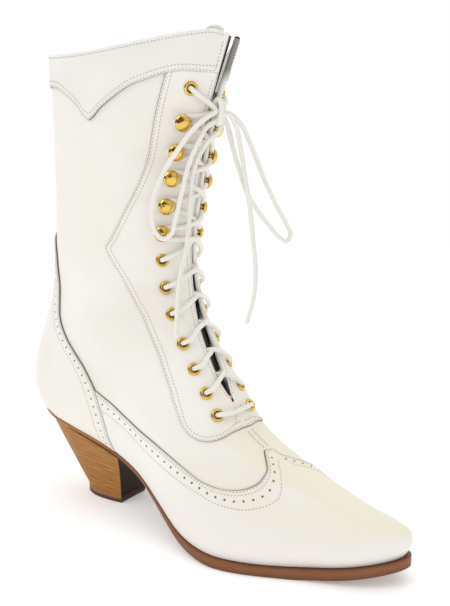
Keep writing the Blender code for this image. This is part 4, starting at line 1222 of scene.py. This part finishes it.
def lacing(first_side, high):
    """One half of the lace from the lowest eyelet to the knot."""
    stops = sorted(EYELETS + HOOKS)
    low, top = stops[0], stops[-1]
    side = -first_side
    points = [over(low, STATION_OUT, first_side, UNDER),
              over(low + 0.3, STATION_OUT - 5.0, first_side, UNDER),
              gap_middle(low + 0.42, UNDER + high),
              over(stops[1] - 0.08, STATION_OUT - 3.0, side, UNDER)]
    for row, after in zip(stops[1:-1], stops[2:]):
        if row in HOOKS:
            points += round_hook(row, after - row, side, high)
        else:
            points += through_eyelet(row, after - row, side, high)
            if after in HOOKS:
                del points[-2:]
        side = -side
    return points + [over(top - 0.14, float(half_gap(top - 0.12)) + 1.8, side, UNDER),
                     over(top - 0.04, STATION_OUT - 3.0, side, UNDER),
                     over(top, STATION_OUT + 0.3, side, IN_TUBE),
                     over(top, STATION_OUT, side, 1.2),
                     over(top - 0.08, STATION_OUT - 3.4, side, RIM_LIFT + 0.2),
                     KNOT_AT + (-2.6, side * 5.2, 4.2), KNOT_AT + (0.2, side * 1.4, 0.6 * high)]


def along(points):
    """Even steps along a lace's route."""
    line = np.array(points, float)
    return smooth_line(line, max(8, round(way_along(line)[-1] / LACE_STEP)))


LACE_START = np.array((0.31, 0.83, 0.46))
LACE_POINT = 0.02
TAPERED = 0.72          # share of the lace's half width next to a drawn-out end
BLUNT = 0.95            # and next to a cut one


def round_lace(path, tapered, half):
    """A round tube: rings across the path, each turned as little as possible from the last, and
    drawn to a point at its ends; with it the turn round and the way along in millimetres."""
    ahead = unit(np.gradient(path, axis=0))
    first = [unit(np.cross(ahead[0], LACE_START))]
    for way in ahead[1:]:
        first.append(unit(first[-1] - way * np.dot(first[-1], way)))
    angle = np.linspace(0, 2 * math.pi, LACE_SIDES + 1)
    radius = np.full(len(path), half)
    radius[[0, -1]] = LACE_POINT
    radius[[1, -2]] = half * (TAPERED if tapered else BLUNT)
    first = np.array(first)
    grid = path[:, None] + radius[:, None, None] * circles(first, np.cross(ahead, first), angle)
    turn, way = np.broadcast_arrays(angle[None] / (2 * math.pi), way_along(path)[:, None])
    return grid, turn, way


cotton = Finish("lace_cotton")
BRAID_STRANDS = 6.0
BRAID_PITCH = 1.1


def braid(turns):
    return cotton.node("ShaderNodeMath", {"operation": "SINE"}, {
        0: 2 * math.pi * (turns * cotton.attribute("way_round")
                          + cotton.attribute("way_along") / BRAID_PITCH)})


cotton_braid = 0.5 + 0.5 * (braid(BRAID_STRANDS) * braid(-BRAID_STRANDS))
cotton_fuzz = cotton.noise(scale=1800.0, detail=3.0)
cotton.feed(Base_Color=cotton.mixed(0.5 * cotton_braid + 0.5 * cotton_fuzz, srgb(232, 228, 220),
                                    srgb(246, 244, 239)),
            Roughness=0.8, Specular_IOR_Level=0.25)
cotton.bump(0.8 * cotton_braid + 0.2 * cotton_fuzz, deep=0.09)


def lace_piece(name, paths, nodes, tapered=False, half=LACE_HALF):
    """A piece of round lace along one or more paths."""
    grids, turns, ways = zip(*(round_lace(path, tapered, half) for path in paths))
    values = {"way_round": np.concatenate(turns), "way_along": np.concatenate(ways)}
    return piece(name, *gathered([meshed(grid) for grid in grids]), cotton, "lace_cotton", nodes,
                 values, closed=True)


# The bar over the lowest eyelets, from inside the outer one to the middle, as ways out and lifts.
BAR = ((STATION_OUT + 0.4, IN_TUBE), (STATION_OUT - 0.2, 1.2), (STATION_OUT - 3.4, RIM_LIFT),
       (6.0, 2.4))
bar = ([over(EYELETS[0], out, OUTER, lift) for out, lift in BAR]
       + [over(EYELETS[0], out, INNER, lift) for out, lift in BAR[::-1]])
lace_piece("lacing", [along(route) for route in (bar, lacing(OUTER, 0.0), lacing(INNER, 2.7))],
           ["lace_crossings"], half=LACE_FLAT_HALF)

# Bow: the two loops and two ends of the same lace, hanging from the knot in front of the ankle,
# and the knot itself, two turns of lace wrapped upright over the crossing.
OUTER_LOOP = ((147.1, -2.9, 242.5), (145.0, -8.0, 240.0), (140.5, -14.5, 234.0),
              (133.0, -20.5, 222.0), (125.5, -24.0, 210.0), (119.5, -26.0, 195.0),
              (118.0, -25.5, 183.0), (119.5, -24.0, 176.5), (122.5, -21.5, 173.5),
              (125.5, -18.5, 176.0), (127.5, -17.5, 183.0), (130.0, -16.5, 193.0),
              (133.0, -16.0, 204.0), (136.5, -15.0, 216.0), (140.5, -12.5, 226.0),
              (143.5, -8.0, 234.5), (146.5, -3.5, 238.0))
INNER_LOOP = ((150.9, 3.8, 241.5), (153.5, 8.5, 237.5), (156.5, 15.5, 225.5), (161.0, 24.5, 205.0),
              (165.5, 32.0, 189.5), (168.5, 36.8, 180.5), (169.8, 38.8, 175.0),
              (168.5, 36.8, 171.0), (166.0, 32.5, 173.5), (163.0, 27.0, 179.5),
              (159.0, 20.0, 188.5), (155.5, 14.0, 198.5), (152.5, 9.5, 212.0), (150.5, 6.0, 224.0),
              (149.4, 2.6, 235.3))
OUTER_END = ((147.8, -0.8, 235.9), (146.9, -2.2, 232.0), (143.0, -7.0, 226.5),
             (139.5, -10.5, 219.0), (136.5, -11.5, 211.0), (133.5, -11.0, 194.5),
             (131.5, -10.5, 178.0), (130.0, -11.0, 166.0), (128.5, -13.5, 155.0),
             (128.0, -16.0, 142.0), (129.0, -18.5, 130.0), (130.5, -21.0, 118.0))
INNER_END = ((152.7, 1.2, 240.0), (154.8, 2.8, 235.0), (156.0, 5.2, 224.0), (157.3, 8.8, 206.0),
             (158.6, 11.6, 190.0), (159.6, 13.4, 173.0), (160.5, 15.0, 155.0), (160.0, 14.5, 142.0),
             (159.0, 12.5, 133.0), (157.5, 10.0, 124.0))
KNOT_TALL = 6.6
KNOT_DEEP = 2.9
KNOT_TURNS = 2.0
KNOT_STEP = 2.5         # the turns lie this far apart
wrap_turn = np.linspace(0, 2 * math.pi * KNOT_TURNS, 70)
wrap_side = (wrap_turn / (2 * math.pi) - KNOT_TURNS / 2) * KNOT_STEP
wrap_path = KNOT_AT + np.stack([KNOT_DEEP * np.sin(wrap_turn), wrap_side,
                                -KNOT_TALL * np.cos(wrap_turn)], axis=1)
leads = [along([KNOT_AT + (1.5, 0.0, 0.0), *route[:2]])
         for route in (OUTER_LOOP, OUTER_LOOP[::-1], INNER_LOOP, INNER_LOOP[::-1], OUTER_END,
                       INNER_END)]
knot = lace_piece("bow_knot", [wrap_path, *leads], ["lace_knot"])
for part, route, far_end, held in (("loop_outer", OUTER_LOOP, "knot", [knot]),
                                   ("loop_inner", INNER_LOOP, "knot", []),
                                   ("end_outer", OUTER_END, "bare", []),
                                   ("end_inner", INNER_END, "bare", [])):
    path = along(route)
    cord = lace_piece(f"bow_{part}", [path], [f"lace_{part}"], tapered=True)
